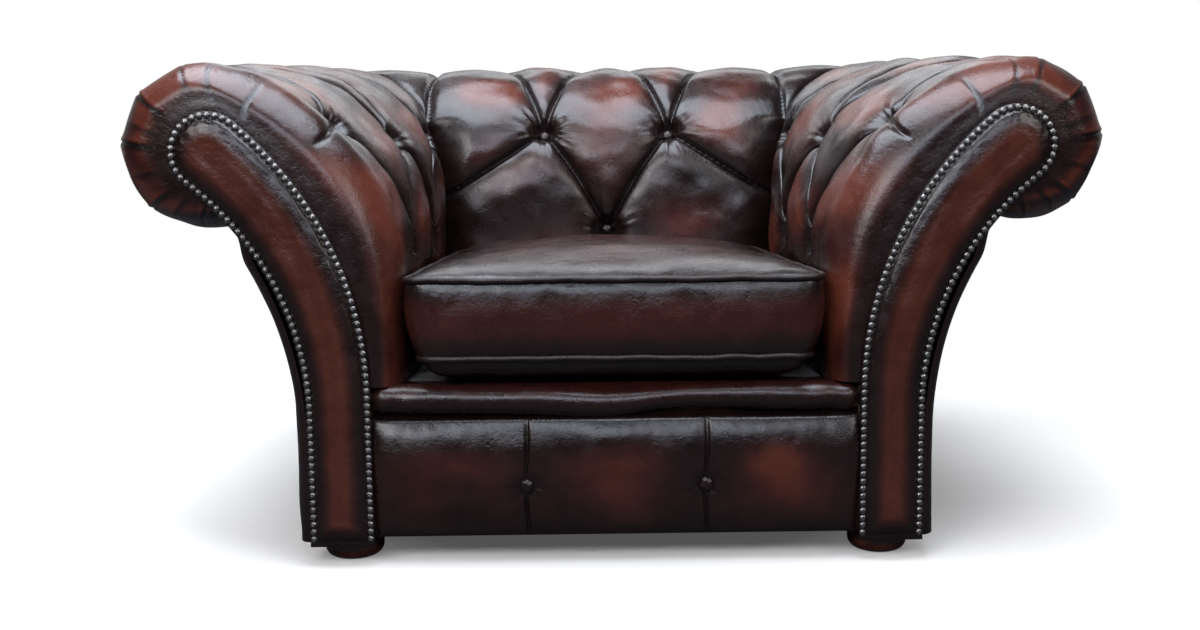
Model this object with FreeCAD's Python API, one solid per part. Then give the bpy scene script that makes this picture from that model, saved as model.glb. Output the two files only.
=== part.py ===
"""Chesterfield club armchair, built as the real chair is built.

Frame: +X to the sitter's left as seen from the front, -Y is the front, +Z up.
The origin is on the floor under the middle of the chair. Millimetres.
"""
import FreeCAD, Part
import os
from math import acos, asin, atan2, cos, exp, hypot, pi, radians, sin, sqrt, tan

V = FreeCAD.Vector

# Overall layout
front_plane = -450.0          # Y of the plane that the two arm facings lie in
seat_half_width = 274.0       # inner arm face from the centre line
seat_depth = 582.0            # facing plane to the inner back face
shell_thickness = 136.0       # inner face to outer panel, at the base
frame_bottom = 38.0

# Arm facing: the nail line
facing_inner_x = 316.0
facing_outer_x = 389.0
facing_inner_bend_z = 225.0
facing_outer_bend_z = 200.0
facing_head_x = 502.0
facing_head_z = 530.0
facing_head_r = 46.0
facing_bottom = 31.0
facing_margin = 5.0           # leather outside the nail line
facing_thickness = 6.0
facing_crown = 7.0
facing_crown_width = 22.0
board_margin = 3.0            # timber outside the nail line

# Arm roll at its front end and at the rear corner
roll_front_x = 527.0
roll_front_z = 539.0
roll_front_r = 103.0
arm_front_bend_z = 371.0
roll_rear_offset = 230.0      # roll centre behind the inner face, at the back
roll_rear_z = 582.0
roll_rear_r = 100.0
rear_bend_z = 490.0
front_round = 70.0            # depth of the rounded front end of the arm
tuck_angle = -115.0           # where the roll's leather ends underneath, degrees

# Deep buttoning
button_pitch = 214.0
first_button_depth = 103.0    # facing plane to the first button of an arm
row_a_z = 400.0
row_rise = 165.0              # row A to row B along the surface
front_row_rise = 33.0         # the first button of an arm sits this much higher
row_c_past_crest = 84.0
corner_meet_z = 457.0         # where the back's outer pleats run into the corner
pleat_depth = 13.0
button_recess = 30.0
pleat_width = 45.0
recess_width = 9.0            # half the flat place under a button
recess_spread = 30.0
corner_fade = 40.0
arm_fan_start = 330.0         # where the pleats begin to fan out to the rear corner
back_fan_start = 150.0
button_radius = 9.0
button_height = 6.5
button_shank_radius = 1.6
button_shank_length = 30.0
button_sink = 1.5

# Upholstery
pad_bottom = 232.0
pad_thickness = 85.0
web_bend_z = 385.0
cover_thickness = 3.0
panel_thickness = 21.0
panel_bottom = 33.0
panel_front_bend_z = 170.0
panel_front_top_x = 497.0
panel_front_top_z = 437.0
panel_rear_bend_z = 200.0
panel_rear_rise = 285.0
panel_rear_reach = 62.0
panel_front_round = 24.0
panel_front_steps = (0.0, 3.0, 9.0, 16.0)
panel_turn_room = 40.0        # straight part ends this far before the rear corner

# Timber
board_thickness = 22.0
rail_thickness = 28.0
rail_top = 190.0
top_rail_size = 44.0
tacking_rail_height = 27.0
tacking_rail_depth = 40.0
back_post_x = 296.0
rear_board_depth = 650.0      # facing plane to the rear arm board
rear_board_inner_x = 345.0
rear_board_head_r = 38.0
rear_head_drop = 10.0         # rear board's head under the roll's centre
board_bend_drop = 70.0        # boards bend lower than the leather
rear_board_bend_rise = 40.0
post_bend_rise = 30.0
corner_block_leg = 90.0
corner_block_height = 60.0
corner_block_bevel = 0.35     # share of a leg left square at its tip
screw_radius = 2.4
screw_head_radius = 4.6
screw_head_height = 3.0
screw_length = 42.0
scroll_screw_heights = (80.0, 152.0)

# Seat platform
deck_top = 238.0
deck_cloth = 2.0
hessian_thickness = 1.5
lip_height = 37.0
lip_depth = 48.0
lip_front_set_back = 4.0
spring_count = 5
spring_pitch = 100.0
spring_wire_r = 1.9
spring_loop_half_width = 24.0
spring_loop_pitch = 30.0
clip_size = 16.0
clip_floor = 1.2
deck_gap = 2.0
lip_root = 28.0                # depth of the part that stands on the hessian
web_thickness = 2.0
web_width = 50.0
web_pitch = 105.0
web_count = 5
web_margin = 40.0
web_end_lap = 2.0
dust_cover_margin = 4.0

# Front border
border_bottom = 35.0
border_top = 191.0
border_set_back = 14.0
border_edge_bulge = 5.0
border_puff = 13.0
border_button_x = 115.0
border_button_z = 103.0
border_end = 10.0             # width of the soft ends
border_end_rise = 3.0
border_pleat_half = 14.0
border_shoulder = 4.0
border_shoulder_share = 0.85  # how full the panel is a quarter of the way up
border_rim_share = 0.6

# Feet
foot_height = 38.0
foot_radius = 38.5
foot_neck_radius = 30.0
foot_sole_radius = 27.0
foot_low = (0.94, 0.16)       # shares of the radius and of the height
foot_widest = 0.42
foot_high = (0.95, 0.68)
foot_shoulder = 0.82
foot_centre_x = 348.0
foot_set_back = 60.0
foot_bolt_radius = 4.0
foot_bolt_length = 44.0
foot_bolt_rise = 4.0          # more of the bolt is in the block than in the foot
rear_foot_set_in = 30.0
tee_nut_radius = 11.0
tee_nut_barrel_radius = 5.0
tee_nut_flange = 1.5
tee_nut_barrel = 10.0
dust_cover_thickness = 1.2

# Nails
nail_pitch = 9.6
nail_radius = 4.6
nail_height = 3.2
nail_shank_radius = 0.9
nail_shank_length = 9.0

# Seat cushion
cushion_front_half = 266.0
cushion_rear_half = 245.0
cushion_draw = 15.0           # how much narrower the bottom seam is
cushion_front_overhang = 5.0
cushion_length = 577.0
cushion_bottom_seam_z = 268.0
cushion_top_seam_z = 368.0
cushion_crown = 33.0
cushion_side_bulge = 4.0
cushion_front_bulge = 8.0
cushion_corner_r = 25.0
cushion_skin = 2.5
piping_r = 4.0
piping_set_in = 1.2           # cord's line inside the panel's edge
zip_length = 420.0
zip_width = 16.0
zip_thickness = 1.6
slider_length = 16.0
slider_width = 9.0
slider_thickness = 3.0
slider_gap = 0.3
zip_end_stop = 6.0
soft_gap = 0.3
crumb_volume = 5.0

# Worked out from the dimensions above
inner_back_y = front_plane + seat_depth
outer_side_x = seat_half_width + shell_thickness
outer_back_y = inner_back_y + shell_thickness
rail_outer_x = outer_side_x - panel_thickness
rail_outer_y = outer_back_y - panel_thickness
roll_rear_x = seat_half_width + roll_rear_offset
roll_rear_y = inner_back_y + roll_rear_offset
scroll_front_y = front_plane + facing_thickness
scroll_back_y = scroll_front_y + board_thickness


def save(node, shape):
    """Write one node's solids to its file, without the crumbs that a cut can leave."""
    solids = [s for s in shape.Solids if abs(s.Volume) > crumb_volume]
    result = solids[0] if len(solids) == 1 else Part.makeCompound(solids)
    result.exportStep("parts/" + node + ".step")
    volume = sum(s.Volume for s in solids)
    good = all(s.isValid() and s.Volume > 0 for s in solids)
    print(f"{node:26s} {len(solids):4d} solids {volume / 1000:10.2f} cm3 {'' if good else 'NOT VALID'}",
          flush=True)


def mirrored(shape):
    """The same shape on the other side of the centre line."""
    return shape.mirror(V(0, 0, 0), V(1, 0, 0))


def save_pair(name, shape):
    """A right-hand piece and its mirror image, each as its own node."""
    save("right_" + name, shape)
    save("left_" + name, mirrored(shape))


def box(x0, x1, y0, y1, z0, z1):
    """A box between two corners."""
    return Part.makeBox(x1 - x0, y1 - y0, z1 - z0, V(x0, y0, z0))


def arc(a, b, c):
    """An edge through three points: an arc, or a line where they lie in a row."""
    bend = (b - a).cross(c - b).Length
    if bend < 1e-4 * (c - a).Length:
        return Part.LineSegment(a, c).toShape()
    return Part.Arc(a, b, c).toShape()


def line(a, b):
    """A straight edge."""
    return Part.LineSegment(a, b).toShape()


def polygon(points):
    """A closed flat face through points."""
    return Part.Face(Part.makePolygon(points + [points[0]]))


def revolved(points, axis_point, axis, profile_x, profile_z):
    """A solid of revolution from (radius, height) points joined by lines."""
    places = [axis_point + profile_x * r + profile_z * h for r, h in points]
    return polygon(places).revolve(axis_point, axis, 360)


def scroll_wire(inner_x, outer_x, inner_bend_z, outer_bend_z, head, head_r, bottom, grow, y):
    """A scroll board's outline: two legs that bend outwards into a round head.

    Both bends are arcs that touch the head circle, so growing keeps them touching.
    """
    reach_in = head[0] - inner_x
    reach_out = head[0] - outer_x
    rise_in = head[1] - inner_bend_z
    rise_out = head[1] - outer_bend_z
    inner_r = (reach_in ** 2 - head_r ** 2 + rise_in ** 2) / (2 * (reach_in - head_r))
    outer_r = (reach_out ** 2 - head_r ** 2 + rise_out ** 2) / (2 * (reach_out + head_r))
    inner_c = (inner_x + inner_r, inner_bend_z)
    outer_c = (outer_x + outer_r, outer_bend_z)

    def at(centre, radius, angle):
        return V(centre[0] + radius * cos(angle), y, centre[1] + radius * sin(angle))

    to_inner = atan2(head[1] - inner_c[1], head[0] - inner_c[0])
    to_outer = atan2(head[1] - outer_c[1], head[0] - outer_c[0])
    big = inner_r + grow
    small = outer_r - grow
    end = head_r + grow
    head_end = to_outer + pi
    if head_end > to_inner:
        head_end -= 2 * pi
    head_mid = (to_inner + head_end) / 2
    a = V(inner_x - grow, y, bottom)
    b = V(inner_x - grow, y, inner_bend_z)
    c = at(inner_c, big, to_inner)
    d = at(head, end, head_mid)
    e = at(head, end, head_end)
    f = V(outer_x + grow, y, outer_bend_z)
    g = V(outer_x + grow, y, bottom)
    edges = [
        line(a, b),
        arc(b, at(inner_c, big, (pi + to_inner) / 2), c),
        arc(c, at(head, end, (to_inner + head_mid) / 2), d),
        arc(d, at(head, end, (head_mid + head_end) / 2), e),
        arc(e, at(outer_c, small, (to_outer + pi) / 2), f),
        line(f, g),
        line(g, a),
    ]
    return Part.Wire(edges)


def facing_wire(grow, y, bottom=facing_bottom):
    """The arm facing's outline, grown outside its nail line."""
    head = (facing_head_x, facing_head_z)
    return scroll_wire(facing_inner_x, facing_outer_x, facing_inner_bend_z, facing_outer_bend_z,
                       head, facing_head_r, bottom, grow, y)


class Contour:
    """The smooth inner face and roll of one cross section, in (outward, up) coordinates.

    It runs up the flat inner face, bends outwards on an arc that touches the roll, and
    follows the roll round to the place underneath where the leather is tacked.
    """

    def __init__(self, face, bend_z, roll, radius):
        self.face = face
        self.bend_z = bend_z
        self.roll = roll
        self.radius = radius
        reach = roll[0] - face
        rise = roll[1] - bend_z
        self.bend_r = (reach ** 2 - radius ** 2 + rise ** 2) / (2 * (reach - radius))
        self.bend_c = (face + self.bend_r, bend_z)
        self.touch = atan2(roll[1] - bend_z, roll[0] - self.bend_c[0])
        self.flat = bend_z - pad_bottom
        self.bent = self.flat + self.bend_r * (pi - self.touch)
        self.crest = self.bent + radius * (self.touch - pi / 2)
        self.end = self.bent + radius * (self.touch - radians(tuck_angle))

    def place(self, s, offset):
        """The point at a length s from the bottom, raised outwards from the pad."""
        if s <= self.flat:
            return (self.face - offset, pad_bottom + s)
        if s <= self.bent:
            angle = pi - (s - self.flat) / self.bend_r
            r = self.bend_r + offset
            return (self.bend_c[0] + r * cos(angle), self.bend_c[1] + r * sin(angle))
        angle = self.touch - (s - self.bent) / self.radius
        r = self.radius + offset
        return (self.roll[0] + r * cos(angle), self.roll[1] + r * sin(angle))


def button_phase(u, first_b):
    """1 on a column of row B buttons, 0 on a column of rows A and C."""
    turns = (u - first_b) / button_pitch
    return 1 - abs(turns - round(turns)) * 2


def arm_front_rise(depth):
    """How much higher than usual row B runs at a depth of an arm."""
    return front_row_rise * max(0.0, 1 - abs(depth - first_button_depth) / button_pitch)


def smooth(t):
    """A smooth step from 0 to 1."""
    t = min(max(t, 0.0), 1.0)
    return t * t * (3 - 2 * t)


def mix(a, b, t):
    """The value a share t of the way from a to b."""
    return a + (b - a) * t


class Tufts:
    """The buttoned rows and the pleats that join them, on one cross section.

    corner is where a back's outer pleats end, and None on an arm.
    """

    def __init__(self, contour, u, first_b, strength, corner=None):
        phase = button_phase(u, first_b)
        front_rise = 0.0 if corner else arm_front_rise(u)
        self.contour = contour
        self.strength = strength
        self.to_b = (1 - phase) * button_pitch / 2
        self.to_ac = phase * button_pitch / 2
        self.row_a = row_a_z - pad_bottom
        self.row_b = self.row_a + row_rise + front_rise
        self.row_c = contour.crest + row_c_past_crest
        w = recess_width
        self.low = mix(self.row_a, self.row_b - w, phase)
        self.high = mix(self.row_c - w, self.row_b + w, phase)
        self.past_b = corner is not None and u > first_b
        if self.past_b:
            along = (u - first_b) / (corner - first_b)
            self.low = mix(self.row_b - w, corner_meet_z - pad_bottom, along)

    def depth(self, s):
        """How far the leather is drawn in at a length s along the section."""
        pleat = 0.0
        for line_s in (self.low, self.high):
            share = max(0.0, 1 - abs(s - line_s) / pleat_width)
            pleat = max(pleat, pleat_depth * share ** 2)
        if s < self.row_a and not self.past_b:
            pleat = max(pleat, pleat_depth * exp(-(self.to_ac / recess_width / 2) ** 2))
        drawn = 0.0
        rows = [(self.to_b, self.row_b), (self.to_ac, self.row_c)]
        if not self.past_b:
            rows.append((self.to_ac, self.row_a))
        for across, row in rows:
            far_off = hypot(across, s - row)
            drawn = max(drawn, exp(-(far_off / recess_spread) ** 2))
        return self.strength * mix(pleat, button_recess, drawn)

    def knots(self):
        """Where the section's seven arcs meet."""
        last = self.row_c + recess_width
        end = self.contour.end
        return [0.0, self.low, (self.low + self.high) / 2, self.high, (self.high + last) / 2,
                last, (last + end) / 2, end]

    def arcs(self, inset):
        """Start, middle and end points of the seven arcs, the skin set in by inset."""
        knots = self.knots()
        arcs = []
        for a, b in zip(knots, knots[1:]):
            trio = [self.contour.place(s, -self.depth(s) - inset) for s in (a, (a + b) / 2, b)]
            arcs.append(trio)
        return arcs


def run_of_arcs(arcs, to_world):
    """Edges along a list of arcs, in their order."""
    return [arc(*[to_world(*p) for p in trio]) for trio in arcs]


def cover_wire(tufts, to_world):
    """The leather's cross section: its face, and its back one thickness behind."""
    outside = tufts.arcs(0.0)
    inside = [trio[::-1] for trio in reversed(tufts.arcs(cover_thickness))]
    turn = line(to_world(*outside[-1][2]), to_world(*inside[0][0]))
    close = line(to_world(*inside[-1][2]), to_world(*outside[0][0]))
    return Part.Wire(run_of_arcs(outside, to_world) + [turn]
                     + run_of_arcs(inside, to_world) + [close])


def pad_wire(tufts, back, to_world):
    """The padding's cross section: from the leather's back to the webbing."""
    inside = tufts.arcs(cover_thickness)
    places = [inside[-1][2]] + back + [inside[0][0]]
    corners = [to_world(*p) for p in places]
    closing = [line(a, b) for a, b in zip(corners, corners[1:])]
    return Part.Wire(run_of_arcs(inside, to_world) + closing)


def arm_contour(depth):
    """The arm's cross section at a depth behind the facing plane."""
    t = min(depth / front_round, 1.0)
    full = sqrt(1 - (1 - t) ** 2)
    along = max(depth - front_round, 0.0) / (seat_depth - front_round)
    face = mix(facing_inner_x - facing_margin, seat_half_width, full)
    bend_z = mix(facing_inner_bend_z, mix(arm_front_bend_z, rear_bend_z, along), full)
    full_x = mix(roll_front_x, roll_rear_x, along)
    full_z = mix(roll_front_z, roll_rear_z, along)
    roll_x = mix(facing_head_x, full_x, full)
    roll_z = mix(facing_head_z, full_z, full)
    radius = mix(facing_head_r + facing_margin, mix(roll_front_r, roll_rear_r, along), full)
    return Contour(face, bend_z, (roll_x, roll_z), radius)


def back_contour():
    """The back's cross section, its face at zero."""
    return Contour(0.0, rear_bend_z, (roll_rear_offset, roll_rear_z), roll_rear_r)


def web_line(face):
    """The unseen side of the padding, where the webbing runs."""
    return [(face + pad_thickness, web_bend_z), (face + pad_thickness, pad_bottom)]


def arm_plane(depth):
    """Maps (x, z) of an arm's section into the chair: the sections fan out to the mitre."""
    fan = max(0.0, (depth - arm_fan_start) / (seat_depth - arm_fan_start)) ** 2
    y = front_plane + depth
    return lambda x, z: V(x, y + fan * (x - seat_half_width), z)


def back_plane(u):
    """Maps (outward, z) of the back's section into the chair, as arm_plane does."""
    fan = max(0.0, (abs(u) - back_fan_start) / (seat_half_width - back_fan_start)) ** 2
    side = 1 if u > 0 else -1
    return lambda v, z: V(u + side * fan * v, inner_back_y + v, z)


def column_stations(first_b, start, stop):
    """Section places along a padded length: closer together near each button column."""
    shares = [0.0, 0.13, 0.5, 0.87]
    half = button_pitch / 2
    n = int((start - first_b) / half) - 1
    places = []
    while first_b + n * half < stop:
        places += [first_b + (n + share) * half for share in shares]
        n += 1
    return [start] + [u for u in places if start + 4 < u < stop - 4] + [stop]


def arm_lofts():
    """The right arm's leather and its padding, up to the mitre at the rear corner."""
    covers = []
    pads = []
    depths = [0.0, 4.0, 13.0, 27.0, 45.0]
    depths += column_stations(first_button_depth, front_round, seat_depth)
    for depth in depths:
        strength = smooth(depth / front_round - 0.3) * smooth((seat_depth - depth) / corner_fade)
        tufts = Tufts(arm_contour(depth), depth, first_button_depth, strength)
        covers.append(cover_wire(tufts, arm_plane(depth)))
        pads.append(pad_wire(tufts, web_line(seat_half_width), arm_plane(depth)))
    return Part.makeLoft(covers, True, True), Part.makeLoft(pads, True, True)


def back_lofts():
    """The back's leather and its padding, from mitre to mitre."""
    covers = []
    pads = []
    half = column_stations(button_pitch / 2, 0.0, seat_half_width)
    for u in [-u for u in reversed(half[1:])] + half:
        strength = smooth((seat_half_width - abs(u)) / corner_fade)
        tufts = Tufts(back_contour(), abs(u), button_pitch / 2, strength, seat_half_width)
        covers.append(cover_wire(tufts, back_plane(u)))
        pads.append(pad_wire(tufts, web_line(0.0), back_plane(u)))
    return Part.makeLoft(covers, True, True), Part.makeLoft(pads, True, True)


def panel_wire(x_base, z_bend, top, thickness, bottom, to_world):
    """A curved outer panel's cross section: a straight skirt that bends out under the roll."""
    reach = top[0] - x_base
    rise = top[1] - z_bend
    r = (reach ** 2 + rise ** 2) / (2 * reach)
    turn = asin(rise / r)
    inner_r = r + thickness
    cx = x_base + r

    def on(radius, angle):
        return to_world(cx - radius * cos(angle), z_bend + radius * sin(angle))

    a = to_world(x_base, bottom)
    b = to_world(x_base, z_bend)
    c = on(r, turn)
    d = on(inner_r, turn)
    e = to_world(x_base - thickness, z_bend)
    f = to_world(x_base - thickness, bottom)
    return Part.Wire([line(a, b), arc(b, on(r, turn / 2), c), line(c, d),
                      arc(d, on(inner_r, turn / 2), e), line(e, f), line(f, a)])


def outer_arm_panel():
    """The outside arm: a padded board in leather that wraps to the facing's edge."""
    wires = []
    straight = seat_depth + shell_thickness - panel_thickness - panel_turn_room
    for depth in [*panel_front_steps, panel_front_round, straight, None]:
        t = 1.0 if depth is None else min(depth / panel_front_round, 1.0)
        full = sqrt(1 - (1 - t) ** 2)
        along = 1.0 if depth is None else max(depth - panel_front_round, 0.0) / straight
        thickness = mix(facing_margin + 1, panel_thickness, full)
        x = rail_outer_x + thickness
        top = (mix(panel_front_top_x, outer_side_x + panel_rear_reach, along) - outer_side_x + x,
               mix(panel_front_top_z, panel_rear_bend_z + panel_rear_rise, along))
        bend = mix(panel_front_bend_z, panel_rear_bend_z, along)
        if depth is None:
            place = lambda px, pz: V(px, inner_back_y + px - seat_half_width, pz)
        else:
            place = lambda px, pz, y=front_plane + depth: V(px, y, pz)
        wires.append(panel_wire(x, bend, top, thickness, panel_bottom, place))
    return Part.makeLoft(wires, True, True)


def outer_back_panel():
    """The outside back, between the two mitres."""
    top = (shell_thickness + panel_rear_reach, panel_rear_bend_z + panel_rear_rise)
    wires = []
    for side in (-1, 1):
        place = lambda v, z, side=side: V(side * (seat_half_width + v), inner_back_y + v, z)
        wires.append(panel_wire(shell_thickness, panel_rear_bend_z, top, panel_thickness,
                                panel_bottom, place))
    return Part.makeLoft(wires, True, True)


def button(place, normal):
    """A covered button: a domed head on a short shank, its back at place."""
    along = normal.normalize()
    side = along.cross(V(0, 0, 1)) if abs(along.z) < 0.9 else along.cross(V(1, 0, 0))
    side.normalize()
    shoulder = button_height * 0.45
    points = [(0, -button_shank_length), (button_shank_radius, -button_shank_length),
              (button_shank_radius, 0), (button_radius * 0.92, 0), (button_radius, shoulder * 0.5),
              (button_radius * 0.93, shoulder), (button_radius * 0.6, button_height * 0.88),
              (0, button_height)]
    return revolved(points, place, along, side, along)


def button_pocket(place, normal):
    """The room that a button takes in the leather and padding under it."""
    along = normal.normalize()
    head = Part.makeCylinder(button_radius + soft_gap, button_recess * 1.5, place, along)
    foot = place - along * (button_shank_length + soft_gap)
    shank = Part.makeCylinder(button_shank_radius + soft_gap, button_shank_length + 1, foot, along)
    return head.fuse(shank)


def tuft_place(contour, s, to_world):
    """The back of a button at a length s, and the way that it faces."""
    sunk = contour.place(s, -button_recess - button_sink)
    proud = contour.place(s, 0.0)
    here = to_world(*sunk)
    return here, (to_world(*proud) - here)


def arm_button_places():
    """Rows A, B and C of the right arm."""
    places = []
    columns = [first_button_depth + n * button_pitch / 2 for n in range(5)]
    for n, depth in enumerate(columns):
        contour = arm_contour(depth)
        row_a = row_a_z - pad_bottom
        if n % 2 == 0:
            rows = [row_a + row_rise + arm_front_rise(depth)]
        else:
            rows = [row_a, contour.crest + row_c_past_crest]
        places += [tuft_place(contour, s, arm_plane(depth)) for s in rows]
    return places


def back_button_places():
    """Rows A, B and C of the back."""
    contour = back_contour()
    row_a = row_a_z - pad_bottom
    row_c = contour.crest + row_c_past_crest
    places = []
    for x, rows in [(0.0, [row_a, row_c]), (button_pitch, [row_c]),
                    (button_pitch / 2, [row_a + row_rise])]:
        for side in ([1] if x == 0 else [1, -1]):
            places += [tuft_place(contour, s, back_plane(x * side)) for s in rows]
    return places


def scroll_board():
    """The shaped front board of an arm."""
    outline = facing_wire(board_margin, scroll_front_y, frame_bottom)
    return Part.Face(outline).extrude(V(0, board_thickness, 0))


def facing_envelope():
    """The room that the facing panel takes in front of the scroll board."""
    face = Part.Face(facing_wire(facing_margin, front_plane - 20, facing_bottom - 20))
    return face.extrude(V(0, 20 + facing_thickness, 0))


def arm_facing():
    """The padded, leather covered panel that hides the front of the arm frame."""
    back = front_plane + facing_thickness
    plate = Part.Face(facing_wire(facing_margin, front_plane)).extrude(V(0, facing_thickness, 0))
    wires = []
    for t in (0.0, 0.35, 0.7, 0.92, 1.0):
        shrink = -nail_radius - 1.0 - facing_crown_width * t
        rise = facing_crown * sqrt(1 - (1 - t) ** 2)
        wires.append(facing_wire(shrink, front_plane - rise, facing_bottom - shrink))
    crown = Part.makeLoft(wires, True, True)
    return plate.fuse(crown).removeSplitter()


def nail(place):
    """One domed upholstery nail, with its point in the scroll board."""
    r = nail_radius
    h = nail_height
    tip = nail_shank_length
    points = [(0, -tip), (nail_shank_radius * 0.3, -tip), (nail_shank_radius, -tip * 0.7),
              (nail_shank_radius, 0), (r, 0), (r * 0.88, h * 0.5), (r * 0.55, h * 0.86), (0, h)]
    return revolved(points, place, V(0, -1, 0), V(1, 0, 0), V(0, -1, 0))


def nail_places():
    """Evenly spaced places along the facing's nail line, up one side and down the other."""
    wire = facing_wire(0.0, front_plane, facing_bottom + nail_radius + 1)
    edges = wire.Edges[:-1]
    path = Part.Wire(edges)
    count = int(round(path.Length / nail_pitch)) + 1
    return path.discretize(count)


def screw_at(place, direction):
    """A countersunk screw, its head flush at place."""
    along = direction.normalize()
    head = Part.makeCone(screw_head_radius, screw_radius, screw_head_height, place, along)
    body = Part.makeCylinder(screw_radius, screw_length, place, along)
    return head.fuse(body).removeSplitter()


def build_timber():
    """All boards and rails of the frame, as {name: shape}."""
    timber = {}
    timber["scroll"] = scroll_board()
    front = front_plane + border_set_back
    rail_end = facing_inner_x - board_margin
    timber["front_rail"] = box(-rail_end, rail_end, front, front + rail_thickness, frame_bottom,
                               rail_top)
    timber["side_rail"] = box(rail_outer_x - rail_thickness, rail_outer_x, scroll_back_y,
                              rail_outer_y - rail_thickness, frame_bottom, rail_top)
    timber["back_rail"] = box(-rail_outer_x, rail_outer_x, rail_outer_y - rail_thickness,
                              rail_outer_y, frame_bottom, rail_top)
    rear_y = front_plane + rear_board_depth
    along = (rear_board_depth - front_round) / (seat_depth - front_round)
    head_z = mix(roll_front_z, roll_rear_z, along) - rear_head_drop
    head = (mix(roll_front_x, roll_rear_x, along), head_z)
    wire = scroll_wire(rear_board_inner_x, rail_outer_x, rear_bend_z - board_bend_drop,
                       panel_rear_bend_z + rear_board_bend_rise, head, rear_board_head_r, rail_top,
                       0.0, rear_y)
    timber["rear_board"] = Part.Face(wire).extrude(V(0, board_thickness, 0))
    half = top_rail_size / 2
    timber["arm_top_rail"] = box(facing_head_x - half, facing_head_x + half, scroll_back_y, rear_y,
                                 facing_head_z - half, facing_head_z + half)
    web_x = seat_half_width + pad_thickness
    tack_z = pad_bottom - tacking_rail_height
    timber["arm_tacking"] = box(web_x - tacking_rail_depth, web_x, scroll_back_y, rear_y,
                                tack_z, pad_bottom)
    web_y = inner_back_y + pad_thickness
    post_x = back_post_x
    timber["back_tacking"] = box(-post_x, post_x, web_y - tacking_rail_depth, web_y, tack_z,
                                 pad_bottom)
    timber["back_top_rail"] = box(-post_x, post_x, roll_rear_y - half, roll_rear_y + half,
                                  roll_rear_z - half, roll_rear_z + half)
    outline = scroll_wire(web_y - tacking_rail_depth, rail_outer_y, rear_bend_z - board_bend_drop,
                          panel_rear_bend_z + post_bend_rise, (roll_rear_y, roll_rear_z), rear_board_head_r,
                          rail_top, 0.0, 0.0)
    board = Part.Face(outline).extrude(V(0, -rail_thickness, 0))
    board.rotate(V(0, 0, 0), V(0, 0, 1), 90)
    # Turning sends +X to +Y and +Y to -X, so the outline's X is now the chair's Y
    board.translate(V(post_x, 0, 0))
    timber["post"] = board
    return timber


def corner_blocks():
    """Four glued corner blocks that the feet bolt into."""
    front = front_plane + border_set_back + rail_thickness
    back = rail_outer_y - rail_thickness
    side = rail_outer_x - rail_thickness
    blocks = []
    for y, way in ((front, 1), (back, -1)):
        leg = corner_block_leg
        points = [V(side, y, frame_bottom), V(side, y + way * leg, frame_bottom),
                  V(side - leg * corner_block_bevel, y + way * leg, frame_bottom),
                  V(side - leg, y + way * leg * corner_block_bevel, frame_bottom),
                  V(side - leg, y, frame_bottom)]
        block = polygon(points).extrude(V(0, 0, corner_block_height))
        blocks += [block, mirrored(block)]
    return blocks


def foot_centres():
    """The four feet, front pair first."""
    front = front_plane + foot_set_back
    back = rail_outer_y - rail_thickness - rear_foot_set_in
    places = []
    for label, y in (("front", front), ("rear", back)):
        for side, x in (("left", -foot_centre_x), ("right", foot_centre_x)):
            places.append((label + "_" + side, V(x, y, 0)))
    return places


def foot(centre):
    """A turned bun foot with a flat sole and a short neck."""
    r = foot_radius
    h = foot_height
    axis = V(0, 0, 1)
    a = centre + V(0, 0, 0)
    b = centre + V(foot_sole_radius, 0, 0)
    widest = centre + V(r, 0, h * foot_widest)
    low = centre + V(r * foot_low[0], 0, h * foot_low[1])
    high = centre + V(r * foot_high[0], 0, h * foot_high[1])
    shoulder = centre + V(foot_neck_radius, 0, h * foot_shoulder)
    neck = centre + V(foot_neck_radius, 0, h)
    top = centre + V(0, 0, h)
    edges = [line(a, b), arc(b, low, widest), arc(widest, high, shoulder), line(shoulder, neck),
             line(neck, top), line(top, a)]
    return Part.Face(Part.Wire(edges)).revolve(centre, axis, 360)


def spring_path(x, y0, y1, z):
    """One sinuous spring's centre line: straight runs joined by half-turn loops in two arcs."""
    loops = int((y1 - y0 - 2 * spring_loop_pitch) / spring_loop_pitch)
    pitch = (y1 - y0) / (loops + 1)
    r = pitch / 2
    w = spring_loop_half_width - r
    edges = []
    here = V(x, y0, z)
    side = 1
    y = y0
    corner = V(x + w, y0, z)
    edges.append(line(here, corner))
    for n in range(loops + 1):
        c = V(x + side * w, y + r, z)
        start = V(x + side * w, y, z)
        edge = c + V(side * r, 0, 0)
        end = V(x + side * w, y + 2 * r, z)
        k = r * cos(pi / 4)
        edges.append(arc(start, c + V(side * k, -k, 0), edge))
        edges.append(arc(edge, c + V(side * k, k, 0), end))
        y += 2 * r
        last = n == loops
        nxt = V(x, y, z) if last else V(x - side * w, y, z)
        edges.append(line(end, nxt))
        side = -side
    return Part.Wire(edges)


def tube(path, radius):
    """A round wire along a path."""
    start = path.Edges[0].valueAt(path.Edges[0].FirstParameter)
    along = path.Edges[0].tangentAt(path.Edges[0].FirstParameter)
    ring = Part.Wire(Part.makeCircle(radius, start, along))
    shell = Part.BRepOffsetAPI.MakePipeShell(path)
    shell.add(ring)
    shell.build()
    shell.makeSolid()
    return shell.shape()


def spring_ends():
    """Y of the front and rear spring clips, on top of the front and back rails."""
    front = front_plane + border_set_back + rail_thickness
    back = rail_outer_y - rail_thickness
    return front - clip_size / 2, back + clip_size / 2


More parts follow.
